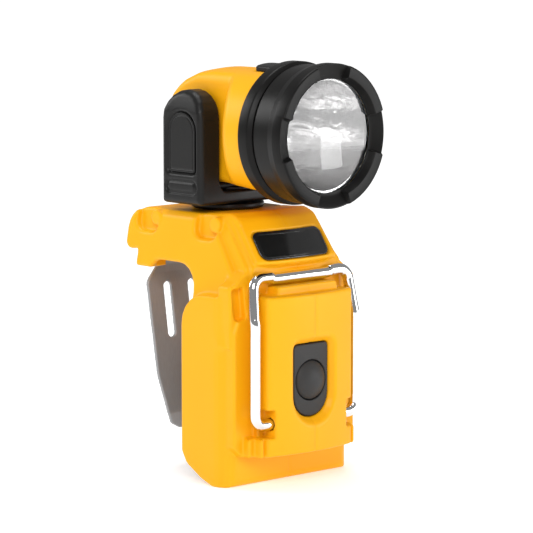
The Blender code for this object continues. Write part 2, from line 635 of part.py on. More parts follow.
def clip():
    """Pressed steel clip: a tab under the block, a leaning plate with slots and a flared tip."""
    t = CLIP_THICK
    tip_z = ARCH_Z - CLIP_DROP
    flare_z = tip_z + 0.0065
    shoulder_z = ARCH_Z - 0.0075
    lean_y = CLIP_BEND_Y - CLIP_LEAN * (shoulder_z - flare_z)
    bend = CLIP_BEND_Y
    tip_y = lean_y + 0.0022
    outer = [(CLIP_TAB_FRONT, CLIP_TAB_Z), (bend - 0.0050, CLIP_TAB_Z), (bend - 0.0020, CLIP_TAB_Z - 0.0012),
             (bend, shoulder_z + 0.001), (lean_y, flare_z), (tip_y, tip_z)]
    inner = [(tip_y - t, tip_z + 0.0004), (lean_y - t, flare_z + 0.0002), (bend - t, shoulder_z + 0.001),
             (bend - 0.0022 - t, CLIP_TAB_Z - t - 0.0008), (bend - 0.0052, CLIP_TAB_Z - t),
             (CLIP_TAB_FRONT, CLIP_TAB_Z - t)]
    plate = slab(outer + inner, "x", -CLIP_HALF - 0.01, CLIP_HALF + 0.01)
    right = [(0.0100, tip_z), (0.0145, tip_z + 0.0022), (0.0172, flare_z),
             (CLIP_HALF - 0.0008, flare_z + 0.0140), (CLIP_HALF, shoulder_z - 0.0022),
             (CLIP_HALF - 0.0020, shoulder_z), (NECK_HALF + 0.0020, shoulder_z + 0.0012),
             (NECK_HALF, shoulder_z + 0.0030), (NECK_HALF, ARCH_Z + 0.002)]
    outline = right + [(-x, z) for x, z in reversed(right)]
    keep(plate, helper(slab(outline, "y", -0.02, 0.04), "clip_outline"))
    for x in (-0.0118, 0, 0.0118):
        low = shoulder_z - 0.0210
        slot = arc((x, low), 0.00185, 180, 360, 8) + arc((x, shoulder_z - 0.0045), 0.00185, 0, 180, 8)
        cut(plate, helper(slab(slot, "y", 0.0, 0.04), "clip_slot"))
    for centre in CLIP_SCREWS:
        hole = rod(centre, SCREW_RADIUS + GAP, "z", ARCH_Z - 0.01, ARCH_Z + 0.01, 12)
        cut(plate, helper(hole, "clip_screw_hole"))
    part(plate, "belt_clip", STEEL)
    for number, centre in enumerate(CLIP_SCREWS, 1):
        screw("clip_screw_%d" % number, centre, "z", CLIP_TAB_Z - t - GAP - HEAD_DEPTH, CLIP_SCREW_TIP)


# ---------------------------------------------------------------- bail
def bail():
    """The hinged wire loop; its feet turn inwards into the panel sides."""
    knee = 0.0035
    top = BAIL_AXIS_Z + BAIL_HEIGHT
    foot_x = PANEL_HALF - WALL + 0.0002
    half = [Vector((foot_x, BAIL_AXIS_Y, BAIL_AXIS_Z)), Vector((BAIL_HALF - knee, BAIL_AXIS_Y, BAIL_AXIS_Z))]
    for x, z in arc((BAIL_HALF - knee, BAIL_AXIS_Z + knee), knee, -75, 0, 5):
        half.append(Vector((x, BAIL_AXIS_Y, z)))
    bend = BAIL_AXIS_Z + BAIL_BEND_HEIGHT
    half.append(Vector((BAIL_HALF, BAIL_AXIS_Y, bend - 0.002)))
    for step in range(1, 4):
        half.append(Vector((BAIL_HALF, BAIL_AXIS_Y + BAIL_LEAN * 0.05 * step, bend - 0.002 + 0.0013 * step)))
    corner = 0.0045
    for x, z in arc((BAIL_HALF - 0.0008 - corner, top - corner), corner, 0, 90, 6):
        share = (z - bend) / (top - bend)
        half.append(Vector((x, BAIL_AXIS_Y + BAIL_LEAN * (0.15 + 0.85 * share), z)))
    points = half + [Vector((-p.x, p.y, p.z)) for p in reversed(half)]
    curve = bpy.data.curves.new("bail_wire", "CURVE")
    curve.dimensions = "3D"
    curve.bevel_depth = BAIL_WIRE
    curve.bevel_resolution = 2
    curve.use_fill_caps = True
    spline = curve.splines.new("POLY")
    spline.points.add(len(points) - 1)
    for made, point in zip(spline.points, points):
        made.co = (*point, 1)
    part(bpy.data.objects.new("bail_wire", curve), "bail_wire", CHROME, BAIL)


# ---------------------------------------------------------------- yoke
PIN_RADIUS = 0.0040
PAD_HALF = 0.0075
BAR_HALF = 0.0078            # groove below the pad
PAD_LOW = TILT_Z - 0.0150
CAP_RADIUS = 0.0105
CAP_THICK = 0.0007
NUT_RADIUS = 0.0103          # clears the rear screw boss


def arm_outline():
    """Side view of the yoke: upright arms with round tops."""
    half = YOKE_DEPTH / 2
    top = arc((-TILT_SET, TILT_Z + ARM_RISE), half, 0, 180, 16)
    return top + [(-TILT_SET - half, YOKE_Z + 0.0015), (-TILT_SET - half + 0.0015, YOKE_Z),
                  (-TILT_SET + half - 0.0015, YOKE_Z), (-TILT_SET + half, YOKE_Z + 0.0015)]


def pad_outline(grow):
    top = arc((-TILT_SET, TILT_Z - 0.0007), PAD_HALF + grow, 0, 180, 10)
    half = PAD_HALF + grow
    return top + [(-TILT_SET - half, PAD_LOW - grow), (-TILT_SET + half, PAD_LOW - grow)]


def yoke():
    """The fork that carries the lamp head, turning on the deck."""
    fillet = 0.0040
    base_top = YOKE_Z + YOKE_BASE
    inner = arc((ARM_INNER - fillet, base_top + fillet), fillet, -90, 0, 5)
    right = inner + [(ARM_INNER, TILT_Z + 0.0200), (ARM_OUTER, TILT_Z + 0.0200), (ARM_OUTER, YOKE_Z)]
    outline = [(-x, z) for x, z in reversed(right)] + right
    fork = slab(outline, "y", -0.0300, 0.0300)
    keep(fork, helper(slab(arm_outline(), "x", -0.05, 0.05), "arm_side_view"))
    for side in (-1, 1):
        recess = sorted((side * (ARM_OUTER - 0.0011), side * (ARM_OUTER + 0.01)))
        cut(fork, helper(slab(pad_outline(GAP), "x", *recess), "pad_recess"))
        pin_end = sorted((side * (ARM_INNER - 0.01), side * (ARM_OUTER - 0.0030)))
        cut(fork, helper(rod((-TILT_SET, TILT_Z), PIN_RADIUS + RUN, "x", *pin_end, 24), "pin_hole"))
        low, high = YOKE_Z + YOKE_BASE, YOKE_Z + YOKE_BASE + 0.0040
        bar = rounded((-TILT_SET - BAR_HALF, low), (-TILT_SET + BAR_HALF, high), 0.0010, 2)
        groove = sorted((side * (ARM_OUTER - 0.0006), side * (ARM_OUTER + 0.01)))
        cut(fork, helper(slab(bar, "x", *groove), "bar_groove"))
    shaft_way = rod((0, 0), SWIVEL_RADIUS + RUN, "z", YOKE_Z - 0.01, base_top + 0.01, 32)
    cut(fork, helper(shaft_way, "shaft_hole"))
    part(fork, "yoke_frame", BLACK, SWIVEL)
    for side, name in ((-1, "arm_pad_left"), (1, "arm_pad_right")):
        ends = sorted((side * (ARM_OUTER - 0.0011 + GAP), side * (ARM_OUTER - 0.0004)))
        part(slab(pad_outline(0), "x", *ends), name, RUBBER, SWIVEL)

    part(turned(tube_ring(SWIVEL_RADIUS + RUN, COLLAR_RADIUS, DECK_Z + GAP, YOKE_Z - GAP), 40, ring=True),
         "swivel_collar", BLACK, SWIVEL)
    low = CELLAR_Z + 0.0010
    bore = SWIVEL_RADIUS - 0.0022
    cap_low = base_top + GAP
    cap_top = cap_low + CAP_THICK
    cap = [(bore, cap_top), (CAP_RADIUS, cap_top), (CAP_RADIUS, cap_low),
           (SWIVEL_RADIUS, cap_low), (SWIVEL_RADIUS, low), (bore, low)]
    part(turned(cap, 36, ring=True), "swivel_shaft", BLACK, SWIVEL)
    washer_top = DECK_Z - DECK_THICK - GAP
    washer = tube_ring(SWIVEL_RADIUS + GAP, NUT_RADIUS, washer_top - 0.0008, washer_top)
    part(turned(washer, 36, ring=True), "swivel_washer", STEEL, SWIVEL)
    nut_top = washer_top - 0.0008 - GAP
    nut = rod((0, 0), NUT_RADIUS, "z", nut_top - 0.0040, nut_top, 6)
    cut(nut, helper(rod((0, 0), SWIVEL_RADIUS + GAP, "z", nut_top - 0.01, nut_top + 0.01, 32), "nut_bore"))
    part(nut, "swivel_nut", STEEL, SWIVEL)


# ---------------------------------------------------------------- lamp head
PIVOT = (0, -TILT_SET, TILT_Z)
HEAD_SCREWS = ((0.0138, 0.0080), (0.0125, -0.0105))   # behind the tilt axis, above it
ARM_ROOM = 0.0147            # tilt axis to where the housing widens in front of the arms
ARM_ROOM_END = 0.0250
NOTCH_RADIUS = 0.0150        # notches in the bezel's front
NOTCH_DEPTH = 0.0023
SEAL_RADIUS = LENS_RADIUS + 0.0022
CATCH_HALF = 0.0068
WASHER_RADIUS = 0.0070       # friction washers on the tilt pins
CATCH_END = 0.0205           # tilt axis to the rear of the catch


def housing_side():
    """Side view of the lamp housing, as (y, z) about the tilt axis."""
    drop = HOUSING_RADIUS - 0.0005
    top = [(-COLLAR_START + 0.0002, drop), (0.0020, drop - 0.0006)]
    back = arc((0, 0), 1.0, 62, -72, 9)
    rear = []
    for c, s in back:
        reach = HEAD_REAR + 0.0022 * min(max(s - 0.2, 0) / 0.5, 1)
        rear.append((reach * c, reach * s))
    low = [(-0.0010, -HEAD_REAR + 0.0017), (-0.0100, -HEAD_REAR + 0.0016), (-COLLAR_START + 0.0002, -drop)]
    return [(y - TILT_SET, z + TILT_Z) for y, z in top + rear + low]


def housing_blank():
    """Both halves of the yellow lamp housing as one hollow solid."""
    blank = helper(slab(housing_side(), "x", -0.03, 0.03), "housing_blank")
    CLAMSHELLS.append(blank)
    radius = HOUSING_RADIUS
    front = COLLAR_START + 0.0010
    barrel = [(0, front), (radius, front), (radius, -0.0040), (radius - 0.0030, -0.0150),
              (radius - 0.0090, -0.0230), (0, -0.0240)]
    keep(blank, helper(turned(barrel, 40, forward=True, place=PIVOT), "barrel"))
    thin = radius - 0.0014
    tip = COLLAR_START + 0.0036
    spigot = [(0, tip), (thin, tip), (thin, COLLAR_START - 0.0010), (0, COLLAR_START - 0.0010)]
    add(blank, helper(turned(spigot, 40, forward=True, place=PIVOT), "spigot"))
    for side in (-1, 1):
        plan = [(side * FACET_HALF, 0.05), (side * FACET_HALF, -TILT_SET - ARM_ROOM),
                (side * 0.0300, -TILT_SET - ARM_ROOM_END), (side * 0.0400, 0.05)]
        if side < 0:
            plan.reverse()
        cut(blank, helper(slab(plan, "z", TILT_Z - 0.04, TILT_Z + 0.04), "arm_room"))
    wide = FACET_HALF - WALL
    waist = radius - 0.0070
    inside = [(0, COLLAR_START + 0.01), (radius - 0.0038, COLLAR_START + 0.01), (radius - 0.0038, 0.0150),
              (waist, 0.0060), (waist, -0.0060), (waist - 0.0043, -0.0145), (0, -0.0175)]
    hollow = helper(turned(inside, 32, forward=True, place=PIVOT), "lamp_hollow")
    near, away = -TILT_SET - ARM_ROOM - 0.0015, -TILT_SET - ARM_ROOM_END - 0.0035
    narrow = [(-wide, 0.05), (-wide, near), (-0.0300, away), (-0.0300, -0.06),
              (0.0300, -0.06), (0.0300, away), (wide, near), (wide, 0.05)]
    keep(hollow, helper(slab(narrow, "z", TILT_Z - 0.03, TILT_Z + 0.03), "hollow_plan"))
    cut(blank, hollow)
    for back, up in HEAD_SCREWS:
        end = wide + 0.001
        boss = rod((back - TILT_SET, up + TILT_Z), BOSS_RADIUS - 0.00015, "x", -end, end, 16)
        add(blank, helper(boss, "head_boss"))
    cut(blank, helper(rod((-TILT_SET, TILT_Z), PIN_RADIUS + GAP, "x", -0.05, 0.05, 24), "pin_way"))
    tab = block((-CATCH_HALF - GAP, -TILT_SET - COLLAR_START - 0.001, TILT_Z + radius - 0.0022),
                (CATCH_HALF + GAP, -TILT_SET - CATCH_END + GAP, TILT_Z + 0.03))
    cut(blank, helper(tab, "tab_recess"))
    return blank


def lamp_housing():
    blank = housing_blank()
    far = 0.05
    low, high = TILT_Z - far, TILT_Z + far
    left = block((-far, -far, low), (-SEAM, far, high))
    right = block((SEAM, -far, low), (far, far, high))
    for obj in (left, right):
        CLAMSHELLS.append(obj)
        keep(obj, blank)
    head_end = FACET_HALF - 0.0002
    seat = head_end - HEAD_DEPTH - GAP
    for back, up in HEAD_SCREWS:
        centre = (back - TILT_SET, up + TILT_Z)
        cut(left, helper(rod(centre, SCREW_RADIUS + GAP, "x", -0.0090, 0.010, 12), "screw_hole"))
        cut(right, helper(rod(centre, SCREW_RADIUS + GAP, "x", -0.010, far, 12), "screw_hole"))
        cut(right, helper(rod(centre, HEAD_OF_SCREW + GAP, "x", seat, far, 16), "head_hole"))
    part(left, "lamp_housing_left", YELLOW, TILT)
    part(right, "lamp_housing_right", YELLOW, TILT)
    for number, (back, up) in enumerate(HEAD_SCREWS, 1):
        screw("head_screw_%d" % number, (back - TILT_SET, up + TILT_Z), "x", head_end, -0.0080, TILT)


def bezel():
    """Black collar, notched front bezel and the small catch on top of the housing."""
    start = COLLAR_START + GAP
    end = COLLAR_START + COLLAR_LENGTH
    fit = HOUSING_RADIUS - 0.0014 + GAP
    collar = [(fit, end), (HEAD_RADIUS - 0.0014, end), (HEAD_RADIUS, end - 0.0012),
              (HEAD_RADIUS, start + 0.0008), (HEAD_RADIUS - 0.0008, start), (fit, start)]
    part(turned(collar, 48, ring=True, forward=True, place=PIVOT), "rear_collar", BLACK, TILT)

    front = HEAD_LENGTH
    back = end + GAP
    seat = LENS_FRONT + GAP
    barrel = HEAD_RADIUS - 0.0009
    bore = SEAL_RADIUS + GAP
    ring = [(LENS_VIEW + 0.0018, front), (HEAD_RADIUS - 0.0010, front), (HEAD_RADIUS, front - 0.0010),
            (HEAD_RADIUS, front - 0.0050), (barrel, front - 0.0075), (barrel, back + 0.0012),
            (barrel - 0.0009, back), (bore, back), (bore, seat), (LENS_VIEW, seat)]
    rim = turned(ring, 48, ring=True, forward=True, place=PIVOT)
    depth = -TILT_SET - front - NOTCH_RADIUS + NOTCH_DEPTH
    for sign in (-1, 1):
        across = sorted((sign * 0.0100, sign * 0.0400))
        cut(rim, helper(rod((depth, TILT_Z), NOTCH_RADIUS, "x", *across, 40), "side_notch"))
        upright = [TILT_Z + end for end in across]
        cut(rim, helper(rod((0, depth), NOTCH_RADIUS, "z", *upright, 40), "end_notch"))
    part(rim, "front_bezel", BLACK, TILT)

    tab = block((-CATCH_HALF, -TILT_SET - COLLAR_START, TILT_Z + HOUSING_RADIUS - 0.0022 + GAP),
                (CATCH_HALF, -TILT_SET - CATCH_END, TILT_Z + HOUSING_RADIUS + 0.0008))
    part(tab, "bezel_catch", BLACK, TILT)


REFLECTOR_DEPTH = 0.0255
BOARD_RADIUS = 0.0100
BOARD_THICK = 0.0014
FIN_PITCH = 0.0055


def optics():
    """Lens, seal, reflector, emitter, board and heat sink along the optical axis."""
    face = LENS_FRONT
    thick = 0.0015
    glass = [(0, face), (LENS_RADIUS, face), (LENS_RADIUS, face - thick), (0, face - thick)]
    part(turned(glass, 48, forward=True, place=PIVOT), "lens", CLEAR, TILT)
    seal = tube_ring(LENS_RADIUS + GAP, SEAL_RADIUS, face - thick, face)
    part(turned(seal, 48, ring=True, forward=True, place=PIVOT), "lens_seal", RUBBER, TILT)

    mouth = face - thick - GAP
    throat_radius = 0.0045
    wall = 0.0010
    mouth_radius = LENS_RADIUS - 0.0012
    throat = mouth - REFLECTOR_DEPTH
    inner = []
    steps = 9
    for step in range(steps + 1):
        radius = mouth_radius + (throat_radius - mouth_radius) * step / steps
        share = (radius ** 2 - throat_radius ** 2) / (mouth_radius ** 2 - throat_radius ** 2)
        inner.append((radius, throat + REFLECTOR_DEPTH * share))
    outer = [(radius + wall, height - wall * 0.5) for radius, height in inner]
    outer[0] = (mouth_radius + wall, mouth)
    outer[-1] = (throat_radius + wall, throat)
    profile = outer + list(reversed(inner))
    part(turned(profile, 40, ring=True, forward=True, place=PIVOT), "reflector", MIRROR, TILT)

    board = throat - GAP
    under = board - BOARD_THICK
    disc = [(0, board), (BOARD_RADIUS, board), (BOARD_RADIUS, under), (0, under)]
    part(turned(disc, 32, forward=True, place=PIVOT), "led_board", BOARD, TILT)
    base = board + GAP
    dome = [(0, base + 0.0028), (0.0012, base + 0.0025), (0.0021, base + 0.0017), (0.0025, base + 0.0006),
            (0.0025, base), (0, base)]
    part(turned(dome, 24, forward=True, place=PIVOT), "led_emitter", EMITTER, TILT)
    sink_y = -TILT_SET - under + GAP
    sink = rod((0, TILT_Z), BOARD_RADIUS - 0.0004, "y", sink_y, sink_y + 0.0100, 32)
    for z in (TILT_Z - FIN_PITCH, TILT_Z, TILT_Z + FIN_PITCH):
        slot = block((-0.02, sink_y + 0.0025, z - 0.0010), (0.02, 0.03, z + 0.0010))
        cut(sink, helper(slot, "fin_slot"))
    part(sink, "heat_sink", ALUMINIUM, TILT)


def tilt_pins():
    """Pins and friction washers between the housing and the yoke arms."""
    axis = (-TILT_SET, TILT_Z)
    inner = FACET_HALF - WALL - 0.0022
    for side, name in ((-1, "left"), (1, "right")):
        pin = rod(axis, PIN_RADIUS, "x", *sorted((side * inner, side * (ARM_OUTER - 0.0034))), 24)
        flange_ends = sorted((side * inner, side * (FACET_HALF - WALL - GAP)))
        add(pin, helper(rod(axis, PIN_RADIUS + 0.0018, "x", *flange_ends, 24), "pin_flange"))
        part(pin, "tilt_pin_" + name, STEEL, TILT)
        washer_ends = sorted((side * (FACET_HALF + GAP), side * (ARM_INNER - GAP)))
        washer = rod(axis, WASHER_RADIUS, "x", *washer_ends, 32)
        cut(washer, helper(rod(axis, PIN_RADIUS + GAP, "x", -0.05, 0.05, 24), "washer_bore"))
        part(washer, "tilt_washer_" + name, RUBBER, TILT)


shells()
shell_screws()
badge()
switch()
receiver()
clip()
bail()
yoke()
lamp_housing()
bezel()
optics()
tilt_pins()

for obj in PARTS.objects:
    if obj.type == "MESH":
        obj.data.shade_smooth()
        obj.data.set_sharp_from_angle(angle=math.radians(35))
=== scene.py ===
import json
import math
import bpy
import bmesh
import numpy as np
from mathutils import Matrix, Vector


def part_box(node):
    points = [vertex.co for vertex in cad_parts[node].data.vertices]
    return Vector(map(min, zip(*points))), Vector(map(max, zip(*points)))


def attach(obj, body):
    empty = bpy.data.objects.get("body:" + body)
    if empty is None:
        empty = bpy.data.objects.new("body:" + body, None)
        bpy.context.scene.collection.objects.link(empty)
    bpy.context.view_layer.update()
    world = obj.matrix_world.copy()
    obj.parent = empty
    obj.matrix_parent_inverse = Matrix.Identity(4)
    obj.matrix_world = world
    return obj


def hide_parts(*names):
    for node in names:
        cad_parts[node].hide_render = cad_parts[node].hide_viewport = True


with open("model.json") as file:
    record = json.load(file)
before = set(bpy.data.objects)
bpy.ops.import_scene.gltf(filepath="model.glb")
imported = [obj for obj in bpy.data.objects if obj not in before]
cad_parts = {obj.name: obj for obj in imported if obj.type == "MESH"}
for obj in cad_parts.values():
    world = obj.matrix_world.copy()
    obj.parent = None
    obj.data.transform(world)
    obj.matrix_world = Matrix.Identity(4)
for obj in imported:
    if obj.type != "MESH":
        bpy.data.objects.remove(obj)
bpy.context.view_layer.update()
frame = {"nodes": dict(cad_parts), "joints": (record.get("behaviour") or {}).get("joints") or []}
print("frame loaded:", len(frame["nodes"]), "nodes")

joints = {joint["name"]: joint for joint in frame["joints"]}
shift = joints["head_swivel"]["pos_m"][1] * 1000      # the swivel axis, in mm along y
pivotY = joints["head_tilt"]["pos_m"][1] * 1000 - shift
pivotZ = joints["head_tilt"]["pos_m"][2] * 1000
bailY = joints["bail_swing"]["pos_m"][1] * 1000 - shift
bailZ = joints["bail_swing"]["pos_m"][2] * 1000
mm = 0.001


def ends(node):
    # lowest and highest corner of a CAD node in mm, with y measured from the swivel axis
    low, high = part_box(node)
    move = np.array([0, shift, 0])
    return np.array(low) * 1000 - move, np.array(high) * 1000 - move


# shader helpers
class Value:
    # one socket of a node tree; the operators add Math nodes
    def __init__(self, tree, socket):
        self.tree = tree
        self.socket = socket

    def join(self, operation, *others, flip=False):
        inputs = [self, *others]
        if flip:
            inputs.reverse()
        return self.tree.make("ShaderNodeMath", {"operation": operation}, dict(enumerate(inputs)))

    def __add__(self, other):
        return self.join("ADD", other)

    def __sub__(self, other):
        return self.join("SUBTRACT", other)

    def __rsub__(self, other):
        return self.join("SUBTRACT", other, flip=True)

    def __mul__(self, other):
        return self.join("MULTIPLY", other)

    def __pow__(self, other):
        return self.join("POWER", other)

    __radd__ = __add__
    __rmul__ = __mul__


class Recipe:
    # a material's node tree
    def __init__(self, name):
        self.material = bpy.data.materials.new(name)
        self.material.use_nodes = True
        self.nodes = self.material.node_tree.nodes
        self.shader = self.nodes["Principled BSDF"]
        self.place = self.make("ShaderNodeTexCoord", {}, {}, "Object")

    def make(self, kind, settings, inputs, output=0):
        node = self.nodes.new(kind)
        for key, value in settings.items():
            if key == "stops":
                ramp = node.color_ramp
                while len(ramp.elements) < len(value):
                    ramp.elements.new(1.0)
                for element, (where, colour) in zip(ramp.elements, value):
                    element.position = where
                    element.color = (*colour, 1.0)
            else:
                setattr(node, key, value)
        for key, value in inputs.items():
            if isinstance(value, Value):
                self.material.node_tree.links.new(value.socket, node.inputs[key])
            else:
                node.inputs[key].default_value = value
        return Value(self, node.outputs[output])

    def noise(self, scale, detail=2.0, stretch=None, roughness=0.5):
        place = self.place
        if stretch:
            place = self.make("ShaderNodeMapping", {}, {"Vector": place, "Scale": stretch})
        return self.make("ShaderNodeTexNoise", {}, {"Vector": place, "Scale": scale, "Detail": detail,
                                                    "Roughness": roughness})

    def tint(self, mask, first, second):
        return self.make("ShaderNodeMix", {"data_type": "RGBA"},
                         {"Factor": mask, 6: (*first, 1.0), 7: (*second, 1.0)}, 2)

    def bump(self, height, strength, distance):
        return self.make("ShaderNodeBump", {}, {"Strength": strength, "Distance": distance, "Height": height})

    def finish(self, **sockets):
        for key, value in sockets.items():
            socket = self.shader.inputs[key.replace("_", " ")]
            if isinstance(value, Value):
                self.material.node_tree.links.new(value.socket, socket)
            else:
                socket.default_value = value
        return self.material


def mouldedNylon(name, colour, deep, roughness, grain, coat, gloss):
    # moulded plastic: faint colour drift, fine spark texture and uneven gloss
    recipe = Recipe(name)
    drift = recipe.noise(38, 3)
    fine = recipe.noise(grain["scale"], 3)
    patches = recipe.noise(120, 4)
    return recipe.finish(Base_Color=recipe.tint(drift, colour, deep),
                         Roughness=roughness + (patches - 0.5) * 0.10,
                         Normal=recipe.bump(fine, grain["strength"], grain["depth"]),
                         IOR=1.5, Specular_IOR_Level=gloss, Coat_Weight=coat, Coat_Roughness=0.22)


plasticLooks = {
    "yellow": dict(colour=(0.96, 0.45, 0.004), deep=(0.92, 0.41, 0.003), roughness=0.42, gloss=0.20,
                   grain=dict(scale=2600, strength=0.22, depth=0.00004), coat=0.04),
    "black": dict(colour=(0.006, 0.006, 0.006), deep=(0.010, 0.0095, 0.009), roughness=0.38, gloss=0.24,
                  grain=dict(scale=2200, strength=0.30, depth=0.00006), coat=0.0),
    "bezel": dict(colour=(0.005, 0.005, 0.005), deep=(0.009, 0.0085, 0.008), roughness=0.34, gloss=0.14,
                  grain=dict(scale=1500, strength=0.12, depth=0.00004), coat=0.0),
    "rubber": dict(colour=(0.024, 0.024, 0.024), deep=(0.034, 0.033, 0.033), roughness=0.55, gloss=0.35,
                   grain=dict(scale=3000, strength=0.5, depth=0.00007), coat=0.0),
}
yellowNylon = mouldedNylon("yellowNylon", **plasticLooks["yellow"])
blackNylon = mouldedNylon("blackNylon", **plasticLooks["black"])
bezelNylon = mouldedNylon("bezelNylon", **plasticLooks["bezel"])
switchRubber = mouldedNylon("switchRubber", **plasticLooks["rubber"])


def metal(name, colour, deep, roughness, stretch, scale, strength, metallic=1.0):
    # brushed, cast or polished metal: stretched noise in colour, gloss and bump
    recipe = Recipe(name)
    lines = recipe.noise(scale, 4, stretch)
    clouds = recipe.noise(60, 4)
    return recipe.finish(Base_Color=recipe.tint(lines, colour, deep), Metallic=metallic,
                         Roughness=(roughness + (clouds - 0.5) * roughness * 0.5
                                    + (lines - 0.5) * roughness * 0.4),
                         Normal=recipe.bump(lines, strength, 0.00003))


brushedSteel = metal("brushedSteel", (0.37, 0.375, 0.385), (0.29, 0.29, 0.295), 0.50, (30, 30, 1), 90, 0.25,
                     0.30)
chromedWire = metal("chromedWire", (0.80, 0.80, 0.80), (0.72, 0.72, 0.72), 0.07, (1, 1, 1), 400, 0.05)
turnedSteel = metal("turnedSteel", (0.50, 0.50, 0.49), (0.40, 0.40, 0.39), 0.30, (1, 1, 8), 300, 0.15)
blackSteel = metal("blackSteel", (0.05, 0.05, 0.05), (0.08, 0.08, 0.078), 0.38, (1, 1, 1), 900, 0.20)
castAluminium = metal("castAluminium", (0.60, 0.61, 0.63), (0.50, 0.51, 0.53), 0.36, (1, 1, 1), 700, 0.25)
platedCopper = metal("platedCopper", (0.78, 0.56, 0.28), (0.66, 0.45, 0.20), 0.28, (1, 1, 12), 200, 0.10)


def reflectorCoat():
    recipe = Recipe("mirrorCoat")
    peel = recipe.noise(420, 2)
    return recipe.finish(Base_Color=recipe.tint(peel, (0.66, 0.65, 0.65), (0.40, 0.39, 0.39)), Metallic=1.0,
                         Roughness=0.12 + peel * 0.14, Normal=recipe.bump(peel, 0.6, 0.0004))


def lensGlass():
    recipe = Recipe("clearLens")
    dust = recipe.noise(150, 5)
    return recipe.finish(Base_Color=(0.97, 0.98, 0.98, 1), Roughness=0.02 + dust * 0.03, IOR=1.49,
                         Transmission_Weight=1.0)


def badgeFace():
    recipe = Recipe("badgeBlack")
    wear = recipe.noise(300, 5)
    return recipe.finish(Base_Color=recipe.tint(wear, (0.006, 0.006, 0.006), (0.011, 0.011, 0.011)),
                         Roughness=0.14 + wear * 0.10, Coat_Weight=0.4, Coat_Roughness=0.08)


def solderMask():
    recipe = Recipe("solderMask")
    tracks = recipe.make("ShaderNodeTexVoronoi", {"feature": "DISTANCE_TO_EDGE"},
                         {"Vector": recipe.place, "Scale": 520}, "Distance")
    mask = recipe.make("ShaderNodeMath", {"operation": "GREATER_THAN"}, {0: tracks, 1: 0.12})
    return recipe.finish(Base_Color=recipe.tint(mask, (0.05, 0.24, 0.10), (0.015, 0.11, 0.045)),
                         Roughness=0.35,
                         Normal=recipe.bump(mask, 0.4, 0.00004))


def phosphor():
    recipe = Recipe("phosphorDome")
    grain = recipe.noise(2500, 2)
    return recipe.finish(Base_Color=recipe.tint(grain, (0.93, 0.80, 0.20), (0.86, 0.68, 0.12)),
                         Roughness=0.30 + grain * 0.1, Normal=recipe.bump(grain, 0.2, 0.00003))


mirrorCoat = reflectorCoat()
clearLens = lensGlass()
badgeBlack = badgeFace()
boardGreen = solderMask()
emitterYellow = phosphor()
print("materials ready")

# solid shapes as distance fields, in mm, with y measured from the swivel axis
def field(low, high, step):
    # three broadcastable axes of sample points
    axes = [np.arange(a, b + step, step, dtype=np.float32) for a, b in zip(low, high)]
    x, y, z = axes
    return x[:, None, None], y[None, :, None], z[None, None, :]


def softened(corners, steps=5):
    # a closed outline; a corner's third number is its radius
    points = []
    for index, corner in enumerate(corners):
        here = np.array(corner[:2], float)
        radius = corner[2] if len(corner) > 2 else 0
        if not radius:
            points.append(tuple(here))
            continue
        back = np.array(corners[index - 1][:2], float) - here
        on = np.array(corners[(index + 1) % len(corners)][:2], float) - here
        backLength, onLength = np.linalg.norm(back), np.linalg.norm(on)
        back, on = back / backLength, on / onLength
        half = math.acos(np.clip(back @ on, -1, 1)) / 2
        reach = min(radius / math.tan(half), backLength * 0.48, onLength * 0.48)
        radius = reach * math.tan(half)
        towards = (back + on) / np.linalg.norm(back + on)
        centre = here + towards * radius / math.sin(half)
        first, last = here + back * reach - centre, here + on * reach - centre
        start = math.atan2(first[1], first[0])
        turn = (math.atan2(last[1], last[0]) - start + math.pi) % (2 * math.pi) - math.pi
        for step in range(steps + 1):
            angle = start + turn * step / steps
            points.append((centre[0] + radius * math.cos(angle), centre[1] + radius * math.sin(angle)))
    return points


def outline(corners, a, b):
    # signed distance to a closed outline, below zero inside
    points = softened(corners)
    distance, inside = 1e9, False
    for (a0, b0), (a1, b1) in zip(points, points[1:] + points[:1]):
        alongA, alongB = a1 - a0, b1 - b0
        length = alongA * alongA + alongB * alongB
        if length < 1e-9:
            continue
        share = np.clip(((a - a0) * alongA + (b - b0) * alongB) / length, 0, 1)
        distance = np.minimum(distance, (a - a0 - alongA * share) ** 2 + (b - b0 - alongB * share) ** 2)
        if b0 != b1:
            inside = inside ^ (((b0 > b) != (b1 > b)) & (a < a0 + alongA * (b - b0) / alongB))
    return np.where(inside, -1, 1) * np.sqrt(distance)


def span(value, low, high):
    return np.maximum(low - value, value - high)


def meet(a, b, radius=0.0):
    # what both hold, with the edge between them rounded
    if not radius:
        return np.maximum(a, b)
    return np.minimum(-radius, np.maximum(a, b)) + np.hypot(np.maximum(radius + a, 0),
                                                            np.maximum(radius + b, 0))


def fuse(a, b, radius=0.0):
    # both together, with a fillet where they join
    if not radius:
        return np.minimum(a, b)
    return np.maximum(radius, np.minimum(a, b)) - np.hypot(np.maximum(radius - a, 0),
                                                           np.maximum(radius - b, 0))


def carve(a, b, radius=0.0):
    return meet(a, -b, radius)


def brick(x, y, z, low, high, radius=0.0):
    sides = meet(span(x, low[0], high[0]), span(y, low[1], high[1]), radius)
    return meet(sides, span(z, low[2], high[2]), radius)


